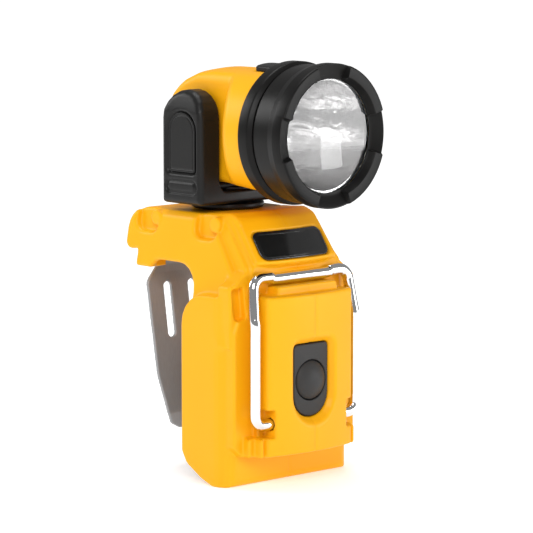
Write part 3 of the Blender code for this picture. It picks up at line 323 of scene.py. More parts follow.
def skin(values, x, y, z, step):
    # the zero surface of a field: a vertex in each crossed cell, joined over each crossed grid line
    nx, ny, nz = values.shape
    inside = values < 0
    total = np.zeros((nx - 1, ny - 1, nz - 1), np.float32)
    sums = np.zeros((3, nx - 1, ny - 1, nz - 1), np.float32)
    faces = []
    crossed = []
    for axis in range(3):
        low = [slice(None)] * 3
        high = [slice(None)] * 3
        low[axis], high[axis] = slice(0, -1), slice(1, None)
        first, second = values[tuple(low)], values[tuple(high)]
        change = inside[tuple(low)] != inside[tuple(high)]
        share = np.where(change, first / np.where(change, first - second, 1), 0)
        others = [other for other in range(3) if other != axis]
        for stepA in (0, 1):
            for stepB in (0, 1):
                cut = [slice(None)] * 3
                for other, offset in zip(others, (stepA, stepB)):
                    cut[other] = slice(offset, values.shape[other] - 1 + offset)
                hit = change[tuple(cut)]
                total += hit
                sums[axis] += np.where(hit, share[tuple(cut)], 0)
                for other, offset in zip(others, (stepA, stepB)):
                    sums[other] += hit * offset
        crossed.append((change, first < 0))
    active = total > 0
    number = np.full(active.shape, -1, np.int64)
    number[active] = np.arange(active.sum())
    cells = np.argwhere(active).astype(np.float32)
    places = cells + (sums[:, active] / total[active]).T
    points = places * step + np.array([x.flat[0], y.flat[0], z.flat[0]], np.float32)
    for axis, (change, outward) in enumerate(crossed):
        one, two = (axis + 1) % 3, (axis + 2) % 3
        where = np.argwhere(change)
        keep = (where[:, one] > 0) & (where[:, two] > 0)
        keep &= (where[:, one] < values.shape[one] - 1) & (where[:, two] < values.shape[two] - 1)
        where = where[keep]
        corners = []
        for backOne, backTwo in ((0, 0), (1, 0), (1, 1), (0, 1)):
            cell = where.copy()
            cell[:, one] -= backOne
            cell[:, two] -= backTwo
            corners.append(number[cell[:, 0], cell[:, 1], cell[:, 2]])
        quads = np.stack(corners, 1)
        turned = outward[where[:, 0], where[:, 1], where[:, 2]]
        quads[~turned] = quads[~turned][:, ::-1]
        faces.append(quads)
    return points, np.concatenate(faces)


def relaxed(points, quads, rounds=2, amount=0.35):
    # evens the surface out without shrinking it much
    edges = np.concatenate([quads[:, [0, 1]], quads[:, [1, 2]], quads[:, [2, 3]], quads[:, [3, 0]]])
    for share in (amount, -amount * 0.9) * rounds:
        sums = np.zeros_like(points)
        count = np.zeros(len(points), np.float32)
        for here, there in ((0, 1), (1, 0)):
            for axis in range(3):
                sums[:, axis] += np.bincount(edges[:, here], points[edges[:, there], axis], len(points))
            count += np.bincount(edges[:, here], minlength=len(points))
        points = points + share * (sums / count[:, None] - points)
    return points


def meshPiece(name, points, faces, material, angle=None):
    # a finished piece from points in mm
    mesh = bpy.data.meshes.new(name)
    moved = np.asarray(points, float) + np.array([0, shift, 0])
    mesh.from_pydata((moved * mm).tolist(), [],
                     np.asarray(faces).tolist() if isinstance(faces, np.ndarray) else faces)
    mesh.validate()
    mesh.shade_smooth()
    if angle:
        mesh.set_sharp_from_angle(angle=math.radians(angle))
    mesh.materials.append(material)
    obj = bpy.data.objects.new(name, mesh)
    bpy.context.scene.collection.objects.link(obj)
    return obj


def moulded(name, shape, low, high, step, material, rounds=2):
    # a piece from a distance field
    x, y, z = field(low, high, step)
    values = shape(x, y, z).astype(np.float32)
    points, quads = skin(values, x, y, z, step)
    points = relaxed(points, quads, rounds)
    print(name, len(quads), "faces")
    return meshPiece(name, points, quads, material)


def stands(obj, body, slot, *nodes):
    # the piece rides on a body and stands for its CAD nodes
    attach(obj, body)
    if nodes:
        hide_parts(*nodes)
    return obj


# the camera and the stage
viewpoint = {"lens": 211.9, "place": (-0.7637, -0.8204, 0.2223), "facing": (0.6787, 0.7227, -0.1305)}
cameraData = bpy.data.cameras.new("camera")
cameraData.lens = viewpoint["lens"]
cameraData.sensor_width = 36
cameraData.clip_end = 20
camera = bpy.data.objects.new("camera", cameraData)
camera.location = viewpoint["place"]
camera.rotation_euler = Vector(viewpoint["facing"]).to_track_quat("-Z", "Y").to_euler()
bpy.context.scene.collection.objects.link(camera)
bpy.context.scene.camera = camera
bpy.context.scene.view_settings.view_transform = "Standard"

studio = {
    "key": dict(place=(-0.80, -0.70, 0.75), size=0.60, power=8.0),
    "fill": dict(place=(0.75, -0.95, 0.20), size=0.50, power=4.6),
    "top": dict(place=(0.10, 0.15, 1.20), size=0.60, power=6.0),
    "rim": dict(place=(-0.45, 0.85, 0.55), size=0.40, power=3.0),
}
for name, light in studio.items():
    data = bpy.data.lights.new(name, "AREA")
    data.shape = "SQUARE"
    data.size = light["size"]
    data.energy = light["power"]
    lamp = bpy.data.objects.new(name, data)
    lamp.location = light["place"]
    lamp.rotation_euler = (Vector((0, 0, 0.07)) - lamp.location).to_track_quat("-Z", "Y").to_euler()
    bpy.context.scene.collection.objects.link(lamp)

world = bpy.data.worlds.new("studioWorld")
world.use_nodes = True
world.node_tree.nodes["Background"].inputs["Color"].default_value = (0.95, 0.95, 0.95, 1)
world.node_tree.nodes["Background"].inputs["Strength"].default_value = 0.32
bpy.context.scene.world = world

floorRecipe = Recipe("paleFloor")
distance = floorRecipe.make("ShaderNodeVectorMath", {"operation": "LENGTH"}, {0: floorRecipe.place}, "Value")
glow = floorRecipe.make("ShaderNodeMapRange", {}, {"Value": distance, "From Min": 0.15, "From Max": 1.6,
                                                   "To Min": 0.42, "To Max": 0.78})
floorMaterial = floorRecipe.finish(Base_Color=(0.86, 0.86, 0.86, 1), Roughness=0.8, Emission_Strength=1.0,
                                   Emission_Color=floorRecipe.tint(glow, (0, 0, 0), (1, 1, 1)))
floorMesh = bpy.data.meshes.new("floor")
floorMesh.from_pydata([(-9, -9, 0), (9, -9, 0), (9, 9, 0), (-9, 9, 0)], [], [(0, 1, 2, 3)])
floorMesh.materials.append(floorMaterial)
floor = bpy.data.objects.new("floor", floorMesh)
bpy.context.scene.collection.objects.link(floor)


# the yellow body, in two halves
bodyLow, bodyHigh = ends("left_shell")
body = {
    "step": 0.5,
    "half": -bodyLow[0],             # half the boot's width
    "crown": 146.0,                  # twice the radius of the front's crown
    "seam": 0.14,                    # half the parting line
    "draft": 0.19,
    "bosses": ((-18.0, 92.0), (13.4, 92.2)),
    "screws": ((-27.0, 7.0), (-27.0, 57.5)),
    "clipScrews": ((8.5, 8.5),),
}
plateLow, plateHigh = ends("switch_plate")
buttonZ = (ends("switch_button")[0][2] + ends("switch_button")[1][2]) / 2
plateCorners = [(-8.4, plateHigh[2], 1.6), (-8.4, plateLow[2], 8.3), (8.4, plateLow[2], 8.3),
                (8.4, plateHigh[2], 1.6)]
slopeTop, slopeLip = np.array([-31.0, 90.8]), np.array([-39.4, 78.7])
slopeUp = (slopeTop - slopeLip) / np.linalg.norm(slopeTop - slopeLip)
slopeOut = np.array([-slopeUp[1], slopeUp[0]])
badge = {"half": 16.5, "low": 2.2, "high": 13.6, "corner": 3.0, "depth": 0.8}


def onSlope(x, y, z):
    # height up the brow's face and depth outside it, following its crown
    y = y - x * x / body["crown"]
    up = (y - slopeLip[0]) * slopeUp[0] + (z - slopeLip[1]) * slopeUp[1]
    out = (y - slopeLip[0]) * slopeOut[0] + (z - slopeLip[1]) * slopeOut[1]
    return up, out


def badgeOutline(x, up, grow):
    half, low, high = badge["half"] + grow, badge["low"] - grow, badge["high"] + grow
    corner = badge["corner"]
    return outline([(-half, low, corner), (half, low, corner), (half, high, corner), (-half, high, corner)],
                   x, up)


def bodyShape(x, y, z, screwSide):
    wide = np.abs(x)
    side = outline([(-33, 0, 2.6), (-25, 0, 3), (-19.2, 2.2, 4), (-11.7, 6.6, 3), (-9, 11, 4), (-9, 68, 14),
                    (-33, 68, 2)], y, z)
    plan = outline([(-40, 5), (-40, -33), (31, -33, 6.4), (31, 5)], wide, y)
    boot = meet(side, plan, 0.7)

    def leaning(half, draft):
        return (wide - half + draft * (z - 77.3)) / math.hypot(1, draft)

    profile = outline([(-31.5, 50), (-31.5, 72, 3), (-29.8, 76.6, 3), (-21.6, 87.0, 4), (-16.8, 93.0, 4),
                       (-13.5, 95.2, 4), (28.5, 95.2, 8.4), (28.5, 79.6, 6), (21.5, 80.3, 0.8),
                       (21.5, 74.2, 1.0),
                       (13.8, 74.2, 1.0), (11.4, 76.7, 0.6), (9.0, 77.3, 1.0), (-11, 77.3, 9.8), (-11, 50)],
                      y, z)
    block = meet(profile, leaning(25.5, body["draft"]), 1.3)
    band = (leaning(25.5, body["draft"]) + z - 93.4) * 0.72          # bevel between the sides and the deck
    block = meet(block, band, 0.5)
    terrace = outline([(-34.9, 58), (-34.9, 77.7, 3), (-25.9, 88.4, 5), (-21.5, 94.0, 4), (-15, 94.9, 3),
                       (-10, 94.9),
                       (-10, 58)], y, z)
    block = fuse(block, meet(terrace, leaning(23.2, 0.15), 0.8), 0.9)
    middle = outline([(-36.0, 60), (-36.0, 77.9, 2), (-27.2, 89.3, 5), (-22.4, 95.0, 4), (-15, 95.3),
                      (-10, 95.0),
                      (-10, 60)], y, z)
    block = fuse(block, meet(middle, leaning(21.4, 0.10), 0.7), 0.7)
    browY = y - wide * wide / body["crown"]
    brow = outline([(-36.5, 77.6, 1.0), (-39.4, 79.4, 1.2), (-31, 90.8, 12), (-28.2, 94.4, 5),
                    (-23.6, 96.2, 6),
                    (-15.5, 95.4), (-10, 94.6), (-10, 77.6)], browY, z)
    block = fuse(block, meet(brow, leaning(19.9, 0.06), 0.9), 0.7)
    whole = fuse(boot, block, 1.5)

    rimFront = outline([(-60, 11.3, 2.0), (26.0, 11.3, 2.0), (29.5, 14.8, 2.0), (29.5, 55, 5),
                        (27.2, 60.5, 4),
                        (25.0, 62.5), (-60, 62.5)], wide, z)
    rim = meet(rimFront, span(y, -35.6, -28), 0.7)
    whole = fuse(whole, rim, 0.6)
    ledge = meet(outline([(-60, 50), (30.2, 50), (30.6, 71.8, 1.5), (27.6, 73.4, 2), (24, 76.5), (-60, 76.5)],
                         wide, z),
                 span(y, -34.4 - 0.10 * (30 - wide), -28), 0.6)
    whole = fuse(whole, ledge, 0.8)
    slot = meet(outline([(23.6, 60.6, 1.5), (28.2, 59.4, 1.5), (29.5, 71.0, 1.0), (24.6, 71.6, 1.0)], wide,
                        z), y + 32.6)
    whole = carve(whole, slot, 0.4)

    face = -46.4 + wide * wide / body["crown"] - y
    panel = meet(meet(face, wide - 20.7, 1.0), span(z, 11.5, 68.3), 0.9)
    panel = meet(panel, y + 30)
    toe = brick(wide, y, z, (-30, -42.6, 11.4), (22.9, -30, 18.2), 0.6)
    toe = fuse(toe, brick(wide, y, z, (-30, -39.0, 11.4), (25.4, -30, 18.0), 0.6), 0.4)
    toe = carve(toe, brick(wide, y, z, (20.5, -60, 5), (21.7, -41.4, 30), 0.2), 0.2)
    tongue = meet(outline([(-20, 60), (16.2, 60), (14.2, 71.4, 1.0), (-20, 71.4)], wide, z),
                  span(y, -42.2, -30), 0.7)
    panel = fuse(fuse(panel, toe, 0.4), tongue, 0.5)
    whole = fuse(whole, panel, 0.5)

    plate = outline(plateCorners, x, z)
    flare = plate - 0.35 - 0.85 * np.maximum(-43.5 - y, 0)
    whole = carve(whole, meet(flare, y + 43.4), 0.9)
    whole = carve(whole, meet(plate - 0.3, y + 39), 0.2)
    pocket = brick(wide, y, z, (17.4, -60, bailZ - 4.6), (30, -38.2, bailZ + 5.4), 0.8)
    pocket = meet(pocket, wide - 22.7)
    whole = carve(whole, pocket, 0.5)
    foot = meet(np.hypot(y - bailY, z - bailZ) - 2.25, span(wide, 14, 24))
    whole = carve(whole, foot, 0.3)
    up, out = onSlope(x, y, z)
    whole = carve(whole, meet(badgeOutline(x, up, 0.35), -out - badge["depth"]), 0.4)

    width = 25.5 - body["draft"] * (z - 77.3)
    for bossY, bossZ in body["bosses"]:
        scoop = outline([(bossY - 1, bossZ - 5.4, 3), (bossY + 10.5, bossZ - 5.4, 4), (bossY + 10.5, 110),
                         (bossY - 1, 110)], y, z)
        whole = carve(whole, meet(scoop, width - 2.6 - wide, 0.8), 1.1)
        boss = meet(np.hypot(y - bossY, z - bossZ) - 2.75, wide - (25.7 - body["draft"] * (bossZ - 77.3)),
                    0.4)
        whole = fuse(whole, boss, 0.5)

    for low, high in (((-1, -22, -9), (28.4, 30, 55)), ((-1, -22, 10), (22.9, 13.8, 77.3)),
                      ((-1, 0, 57), (17.4, 30, 77.3))):
        whole = carve(whole, brick(wide, y, z, low, high, 0.6), 0.5)
    for low, high in (((-1, -30.4, 2.6), (24.4, -24.6, 54)), ((-1, -40.9, 14.2), (15.4, -24.6, 65.6)),
                      ((-1, -32, 58), (8, -24.6, 82)), ((-1, -27, 80), (18.3, 18.5, 91.7))):
        whole = carve(whole, brick(wide, y, z, low, high))
    whole = carve(whole, meet(np.hypot(x, y) - 7.8, 85 - z), 0.3)
    for screwX, screwY in body["clipScrews"]:
        whole = carve(whole, meet(np.hypot(wide - screwX, y - screwY) - 1.6, z - 84.8))
    if screwSide:
        for holeY, holeZ in body["bosses"] + body["screws"]:
            reach = (25.5 - body["draft"] * (holeZ - 77.3) if holeZ > 68 else 31) - 1.0
            hole = np.hypot(y - holeY, z - holeZ)
            whole = carve(whole, meet(hole - 2.65, reach - 2.3 - x), 0.25)
            whole = carve(whole, hole - 1.6)
    return meet(whole, body["seam"] - wide, 0.22)


def bodyHalf(name, side):
    low = (-0.8, -49.5, -1.5)
    high = (32.5, 30.0, 98.0)

    def shape(x, y, z):
        return bodyShape(x, y, z, side > 0)

    x, y, z = field(low, high, body["step"])
    points, quads = skin(shape(x, y, z).astype(np.float32), x, y, z, body["step"])
    points = relaxed(points, quads)
    points[:, 0] = np.minimum(points[:, 0], body["half"])
    if side < 0:
        points[:, 0] *= -1
        quads = quads[:, ::-1]
    print(name, len(quads), "faces")
    return meshPiece(name, points, quads, yellowNylon)


stands(bodyHalf("bodyLeft", -1), "body", "yellow_nylon", "left_shell")
stands(bodyHalf("bodyRight", 1), "body", "yellow_nylon", "right_shell")

# badge and switch
def badgeShape(x, y, z):
    up, out = onSlope(x, y, z)
    edge = badgeOutline(x, up, 0.0)
    plate = meet(edge, span(out, 0.35 - badge["depth"], 0.15), 0.25)
    inner = np.abs(edge + 1.1) - 0.22                   # plain raised border line
    return fuse(plate, meet(inner, span(out, -0.3, 0.30), 0.1), 0.1)


label = moulded("badge", badgeShape, (-18, -41.5, 78), (18, -28.5, 93), 0.25, badgeBlack)
stands(label, "body", "badge_black", "label_plate")


def plateShape(x, y, z):
    edge = outline(plateCorners, x, z)
    dome = -43.6 - 0.35 * np.clip(1 - (edge + 6) / 6, 0, 1)
    plate = meet(edge, np.maximum(dome - y, y + 41.0), 0.5)
    ring = np.hypot(x, z - buttonZ)
    plate = carve(plate, ring - 7.3, 0.35)
    return plate


switchPlate = moulded("switchPlate", plateShape, (-9.5, -45, plateLow[2] - 1), (9.5, -40, plateHigh[2] + 1),
                      0.25, switchRubber)
stands(switchPlate, "body", "black_rubber", "switch_plate")


def lathe(name, profile, material, steps=128, place=(0, 0, 0), forward=False, shape=None, angle=30):
    # a turned piece: closed (radius, height) profile; forward lies along -y
    angles = np.arange(steps) * 2 * math.pi / steps
    radius = np.array([p[0] for p in profile], float)[None, :] * np.ones((steps, 1))
    height = np.array([p[1] for p in profile], float)[None, :] * np.ones((steps, 1))
    if shape:
        radius, height = shape(radius, height, angles[:, None])
    a, b = radius * np.cos(angles[:, None]), radius * np.sin(angles[:, None])
    grid = np.stack([a, -height, b] if forward else [a, b, height], -1) + np.array(place)
    points = grid.reshape(-1, 3)
    count = len(profile)
    faces = []
    for step in range(steps):
        on = (step + 1) % steps
        for index in range(count):
            after = (index + 1) % count
            if profile[index][0] == 0 and profile[after][0] == 0:
                continue
            faces.append((step * count + index, on * count + index, on * count + after, step * count + after))
    obj = meshPiece(name, points, faces, material)
    bm = bmesh.new()
    bm.from_mesh(obj.data)
    bmesh.ops.remove_doubles(bm, verts=bm.verts, dist=1e-6)
    bmesh.ops.recalc_face_normals(bm, faces=bm.faces)
    bm.to_mesh(obj.data)
    bm.free()
    obj.data.shade_smooth()
    obj.data.set_sharp_from_angle(angle=math.radians(angle))
    return obj


def eased(corners, closed=True, steps=4):
    # a lathe profile with its corners rounded by their third number
    points = softened(corners, steps)
    return points if closed else points


button = [(0, 2.6), (2.4, 2.35), (4.4, 1.65), (5.8, 0.85), (6.7, 0.25), (7.0, -0.3), (7.0, -2.9), (7.9, -2.9),
          (7.9, -3.8), (2.4, -3.8), (2.4, -7.4), (0, -7.4)]
switchButton = lathe("switchButton", button, switchRubber, 72, (0, -43.6, buttonZ), True, angle=40)
stands(switchButton, "button", "black_rubber", "switch_button")
print("body, badge and switch done")

# yoke
yoke = {"step": 0.42, "inner": 14.0, "outer": 23.4, "half": 10.65, "low": 98.0, "baseTop": 102.5}


def yokeShape(x, y, z):
    wide = np.abs(x)
    away = y - pivotY
    half = yoke["half"]
    top = ends("yoke_frame")[1][2]
    arms = outline([(-half, yoke["low"], 1.2), (half, yoke["low"], 1.2), (half, top, half - 0.1),
                    (-half, top, half - 0.1)], away, z)
    lean = 0.16 * np.maximum(z - 131, 0) ** 1.25                    # the arms' tops fall away outwards
    solid = meet(arms, wide + lean - yoke["outer"], 2.2)
    room = meet(wide - yoke["inner"], yoke["baseTop"] - z, 3.8)
    solid = carve(solid, room, 0.7)
    padEdge = outline([(-7.0, 109.6, 1.2), (7.0, 109.6, 1.2), (7.0, pivotZ + 6.4, 6.9),
                       (-7.0, pivotZ + 6.4, 6.9)],
                      away, z)
    solid = carve(solid, meet(padEdge - 0.3 - 0.9 * np.maximum(wide - 22.4, 0), 22.3 - wide), 0.3)
    barEdge = outline([(-7.8, 102.3, 1.9), (7.8, 102.3, 1.9), (7.8, 106.3, 1.9), (-7.8, 106.3, 1.9)], away, z)
    solid = carve(solid, meet(barEdge - 0.5, 22.75 - wide), 0.4)
    solid = fuse(solid, meet(barEdge + 0.45, wide - 23.3, 0.5), 0.3)
    solid = carve(solid, np.hypot(x, y) - 7.8, 0.2)
    return solid


yokeFrame = moulded("yoke", yokeShape, (-24.2, -12.6, 97.2), (24.2, 11.2, 140.4), yoke["step"], blackNylon)
stands(yokeFrame, "yoke", "black_nylon", "yoke_frame")


def padShape(side):
    def shape(x, y, z):
        edge = outline([(-7.0, 109.6, 1.2), (7.0, 109.6, 1.2), (7.0, pivotZ + 6.4, 6.9),
                        (-7.0, pivotZ + 6.4, 6.9)],
                       y - pivotY, z)
        pad = meet(edge, span(side * x, 22.55, 22.95), 0.15)
        line = np.abs(edge + 1.0) - 0.15
        return carve(pad, meet(line, 22.8 - side * x), 0.05)
    return shape


for side, name in ((-1, "left"), (1, "right")):
    low, high = sorted((side * 22.2, side * 23.3))
    pad = moulded("armPad." + name, padShape(side), (low, -9, 108.6), (high, 7.4, 132.2), 0.22, blackNylon)
    stands(pad, "yoke", "black_rubber", "arm_pad_" + name)

collar = lathe("swivelCollar", eased([(7.9, 97.6), (13.3, 97.6, 0.5), (13.3, 96.3, 0.3), (12.6, 95.6, 0.2),
                                      (7.9, 95.6)]),
               blackNylon, 96)
stands(collar, "yoke", "black_nylon", "swivel_collar")

# lamp housing, in two halves
housing = {"step": 0.45, "seam": 0.14, "screws": ((13.8, 8.0), (12.5, -10.5))}


def housingShape(x, y, z, screwSide):
    wide = np.abs(x)
    back = y - pivotY
    up = z - pivotZ
    side = outline([(-33.3, 22.9), (-2.2, 22.4, 6), (4.9, 20.6, 4), (11.5, 17.6, 5), (17.9, 12.0, 5),
                    (20.2, 4, 6),
                    (19.6, -6, 8), (14, -15, 6), (4, -19.0, 4), (-10, -18.9, 4), (-33.3, -22.9)], back, up)
    radial = np.hypot(x, up)
    barrel = outline([(-50, -33.3), (23.3, -33.3), (23.3, 4, 8), (20.3, 15, 6), (14.3, 23), (-50, 23)],
                     radial, back)
    solid = meet(side, barrel, 3.0)
    room = outline([(60, 60), (12.6, 60), (12.6, -14.7, 2.5), (30, -25), (60, -25)], wide, back)
    solid = carve(solid, room, 2.6)
    scoop = np.sqrt((wide - 9.5) ** 2 + (back - 1.5) ** 2 * 0.5 + (up - 23.5) ** 2) - 3.2
    solid = carve(solid, scoop, 0.8)
    spigot = meet(radial - 21.8, span(back, -35.9, -30))
    solid = fuse(solid, spigot)
    hollow = outline([(-50, -60), (19.4, -60), (19.4, -15), (16.2, -6), (16.2, 6), (12, 14.5), (0, 17.4),
                      (-50, 17.4)],
                     radial, back)
    narrow = outline([(-60, -60), (30, -60), (30, -28.5), (10, -16.2), (10, 60), (-60, 60)], wide, back)
    solid = carve(solid, meet(hollow, narrow))
    tab = brick(x, back, up, (-7.3, -60, 21.0), (7.3, -20.3, 60))
    solid = carve(solid, tab, 0.3)
    solid = carve(solid, np.hypot(back, up) - 4.3)
    if screwSide:
        for holeY, holeZ in housing["screws"]:
            hole = np.hypot(back - holeY, up - holeZ)
            solid = carve(solid, meet(hole - 2.65, 10.1 - x), 0.25)
            solid = carve(solid, hole - 1.6)
    return meet(solid, housing["seam"] - wide, 0.22)


def housingHalf(name, side):
    x, y, z = field((-0.8, -38, pivotZ - 24.2), (24.2, 20.8, pivotZ + 24.2), housing["step"])
    values = housingShape(x, y, z, side > 0).astype(np.float32)
    points, quads = skin(values, x, y, z, housing["step"])
    points = relaxed(points, quads)
    if side < 0:
        points[:, 0] *= -1
        quads = quads[:, ::-1]
    print(name, len(quads), "faces")
    return meshPiece(name, points, quads, yellowNylon)


for side, name in ((-1, "left"), (1, "right")):
    half = housingHalf("housing." + name, side)
    stands(half, "head", "yellow_nylon", "lamp_housing_" + name)

# collar, bezel, catch and optics
pivot = (0, pivotY, pivotZ)
rearCollar = lathe("rearCollar", eased([(21.9, 38.0), (24.0, 38.0, 0.4), (25.45, 36.6, 1.0),
                                        (25.45, 32.2, 0.7),
                                        (24.6, 31.5, 0.3), (23.7, 31.5), (23.7, 33.4), (21.9, 33.4)]),
                   bezelNylon, 160,
                   pivot, True)
stands(rearCollar, "head", "black_nylon", "rear_collar")

bezel = {"front": 54.6, "rimDepth": 0.9, "innerDepth": 2.7, "notchHalf": 18.2, "wall": 1.1}
lensLow, lensHigh = ends("lens")
lensFront = pivotY - lensLow[1]
bezelProfile = eased([(22.95, 38.3), (23.7, 38.3, 0.3), (24.55, 39.4, 0.4), (24.75, 46.5, 2.0),
                      (25.5, 49.6, 2.0),
                      (25.5, 54.6, 0.6), (23.6, 54.6), (21.4, 54.6, 0.25), (20.3, 52.2, 0.4),
                      (19.85, lensFront + 0.35, 0.1),
                      (22.95, lensFront + 0.35)])


def notched(radius, height, angles):
    # four scoops in the front rim
    turn = np.degrees(angles) % 90
    turn = np.minimum(turn, 90 - turn)
    share = np.clip((bezel["notchHalf"] - turn) / bezel["wall"], 0, 1)
    share = share * share * (3 - 2 * share)
    inwards = np.clip((25.5 - radius) / 4.2, 0, 1)
    sunk = share * (bezel["rimDepth"] + (bezel["innerDepth"] - bezel["rimDepth"]) * inwards)
    near = np.clip((height - 51.6) / (bezel["front"] - 51.6), 0, 1)
    return radius, height - near * sunk


frontBezel = lathe("bezel", bezelProfile, bezelNylon, 448, pivot, True, notched)
stands(frontBezel, "head", "black_nylon", "front_bezel")


def catchShape(x, y, z):
    back, up = y - pivotY, z - pivotZ
    top = np.hypot(x, up) - 24.15
    body = meet(outline([(-7.0, -31.7), (7.0, -31.7), (6.6, -20.7, 1.4), (-6.6, -20.7, 1.4)], x, back), top,
                0.5)
    return meet(body, 21.4 - up)


catch = moulded("catch", catchShape, (-7.6, -34.2, pivotZ + 20.4), (7.6, -20, pivotZ + 24.6), 0.25,
                blackNylon)
stands(catch, "head", "black_nylon", "bezel_catch")

lens = lathe("lens", [(0, lensFront), (8, lensFront - 0.02), (15, lensFront - 0.1), (20.2, lensFront - 0.2),
                      (20.5, lensFront - 0.4), (20.5, lensFront - 1.4), (20.3, lensFront - 1.5),
                      (0, lensFront - 1.5)],
             clearLens, 128, pivot, True)
stands(lens, "head", "clear_lens", "lens")


def reflectorPiece():
    # a dimpled bowl with a rolled rim
    random = np.random.default_rng(11)
    mouth, throat, depth, front = 19.3, 4.5, 25.5, lensFront - 1.8
    rings, steps = 56, 192
    profile = []
    for step in range(rings + 1):
        radius = mouth + (throat - mouth) * step / rings
        share = (radius ** 2 - throat ** 2) / (mouth ** 2 - throat ** 2)
        profile.append((radius, front - depth + depth * share))
    outer = [(radius + 0.9, height - 0.3) for radius, height in reversed(profile)]
    outer[0] = (throat + 0.9, front - depth)
    outer[-1] = (mouth + 0.9, front)
    dimples = random.normal(0, 0.035, (steps, rings + 1))
    dimples[:, :2] = 0
    dimples[:, -2:] = 0

    def peel(radius, height, angles):
        radius = radius.copy()
        radius[:, :rings + 1] += dimples
        return radius, height

    return lathe("reflector", profile + outer, mirrorCoat, steps, pivot, True, peel, angle=60)


stands(reflectorPiece(), "head", "mirror_reflector", "reflector")
print("head done")

# bail
bail = {"half": 24.3, "foot": 16.9, "knee": 3.6, "radius": 2.0, "lean": 2.6, "bend": 35.6, "corner": 4.4}


def bailPiece():
    half, knee, radius, lean, corner = (bail[key] for key in ("half", "knee", "radius", "lean", "corner"))
    top = ends("bail_wire")[1][2] - radius
    points = [(bail["foot"], bailY, bailZ), (half - knee, bailY, bailZ)]
    for step in range(1, 8):
        angle = math.radians(-90 + 90 * step / 7)
        points.append((half - knee + knee * math.cos(angle), bailY, bailZ + knee + knee * math.sin(angle)))
    bend = bailZ + bail["bend"]
    points += [(half, bailY, z) for z in np.linspace(bailZ + 8, bend, 6)]
    points += [(half, bailY + 0.15, bend + 1.2), (half - 0.1, bailY + 0.5, bend + 2.6)]
    for step in range(8):
        angle = math.radians(90 * step / 7)
        z = top - corner + corner * math.sin(angle)
        share = (z - bend) / (top - bend)
        points.append((half - 1.0 - corner + corner * math.cos(angle), bailY + 0.3 + (lean - 0.3) * share, z))
    points += [(15.6, bailY + lean, top), (14.6, bailY + lean, top - 0.05), (13.6, bailY + lean, top - 0.55),
               (12.6, bailY + lean, top - 0.7), (6, bailY + lean, top - 0.7)]
    path = points + [(-x, y, z) for x, y, z in reversed(points)]
    curve = bpy.data.curves.new("bail", "CURVE")
    curve.dimensions = "3D"
    curve.bevel_depth = radius * mm
    curve.bevel_resolution = 6
    curve.use_fill_caps = True
    curve.resolution_u = 4
    spline = curve.splines.new("BEZIER")
    spline.bezier_points.add(len(path) - 1)
    for made, place in zip(spline.bezier_points, path):
        made.co = (place[0] * mm, (place[1] + shift) * mm, place[2] * mm)
        made.handle_left_type = made.handle_right_type = "AUTO"
    drawn = bpy.data.objects.new("bailCurve", curve)
    bpy.context.scene.collection.objects.link(drawn)
    bpy.context.view_layer.update()
    mesh = bpy.data.meshes.new_from_object(drawn.evaluated_get(bpy.context.evaluated_depsgraph_get()))
    bpy.data.objects.remove(drawn)
    mesh.name = "bail"
    mesh.shade_smooth()
    mesh.set_sharp_from_angle(angle=math.radians(50))
    mesh.materials.clear()
    mesh.materials.append(chromedWire)
    obj = bpy.data.objects.new("bail", mesh)
    bpy.context.scene.collection.objects.link(obj)
    return obj


stands(bailPiece(), "bail", "chromed_wire", "bail_wire")
print("bail done")

# belt clip
clipLow, clipHigh = ends("belt_clip")
clip = {"thick": 1.4, "step": 0.36, "half": clipHigh[0], "bend": clipHigh[1], "slot": 1.85,
        "slots": (-11.8, 0.0, 11.8), "slotLow": 48.8, "slotHigh": 65.3, "neck": 16.4}


def clipShape(x, y, z):
    wide, bend, thick, half = np.abs(x), clip["bend"], clip["thick"], clip["half"]
    top, tip = clipHigh[2], clipLow[2]
    sheet = outline([(2, top), (bend, top, 5.5), (bend, top - 6.3, 3), (bend - 7.5, tip + 6.5, 2),
                     (bend - 5.3, tip), (bend - 5.3 - thick, tip - 0.3), (bend - 7.5 - thick, tip + 6.5, 2),
                     (bend - thick, top - 6.3, 2), (bend - thick, top - thick, 4), (2, top - thick)], y, z)
    front = outline([(-5, tip), (10, tip, 2.5), (14.5, tip + 2.2, 2.5), (17.2, tip + 6.5, 2),
                     (half - 0.8, tip + 20.5, 6), (half, top - 9.2, 3), (half - 3, top - 6, 1.5),
                     (clip["neck"], top - 4, 1), (clip["neck"], top + 3), (-5, top + 3)], wide, z)
    solid = meet(sheet, front, 0.3)
    for slotX in clip["slots"]:
        reach = np.clip(z, clip["slotLow"], clip["slotHigh"])
        slot = np.hypot(x - slotX, z - reach) - clip["slot"]
        solid = carve(solid, slot, 0.25)
    return solid


beltClip = moulded("beltClip", clipShape, (-clip["half"] - 1, 1.2, clipLow[2] - 1),
                   (clip["half"] + 1, clip["bend"] + 1, clipHigh[2] + 1), clip["step"], brushedSteel)
stands(beltClip, "body", "brushed_steel", "belt_clip")
print("belt clip done")

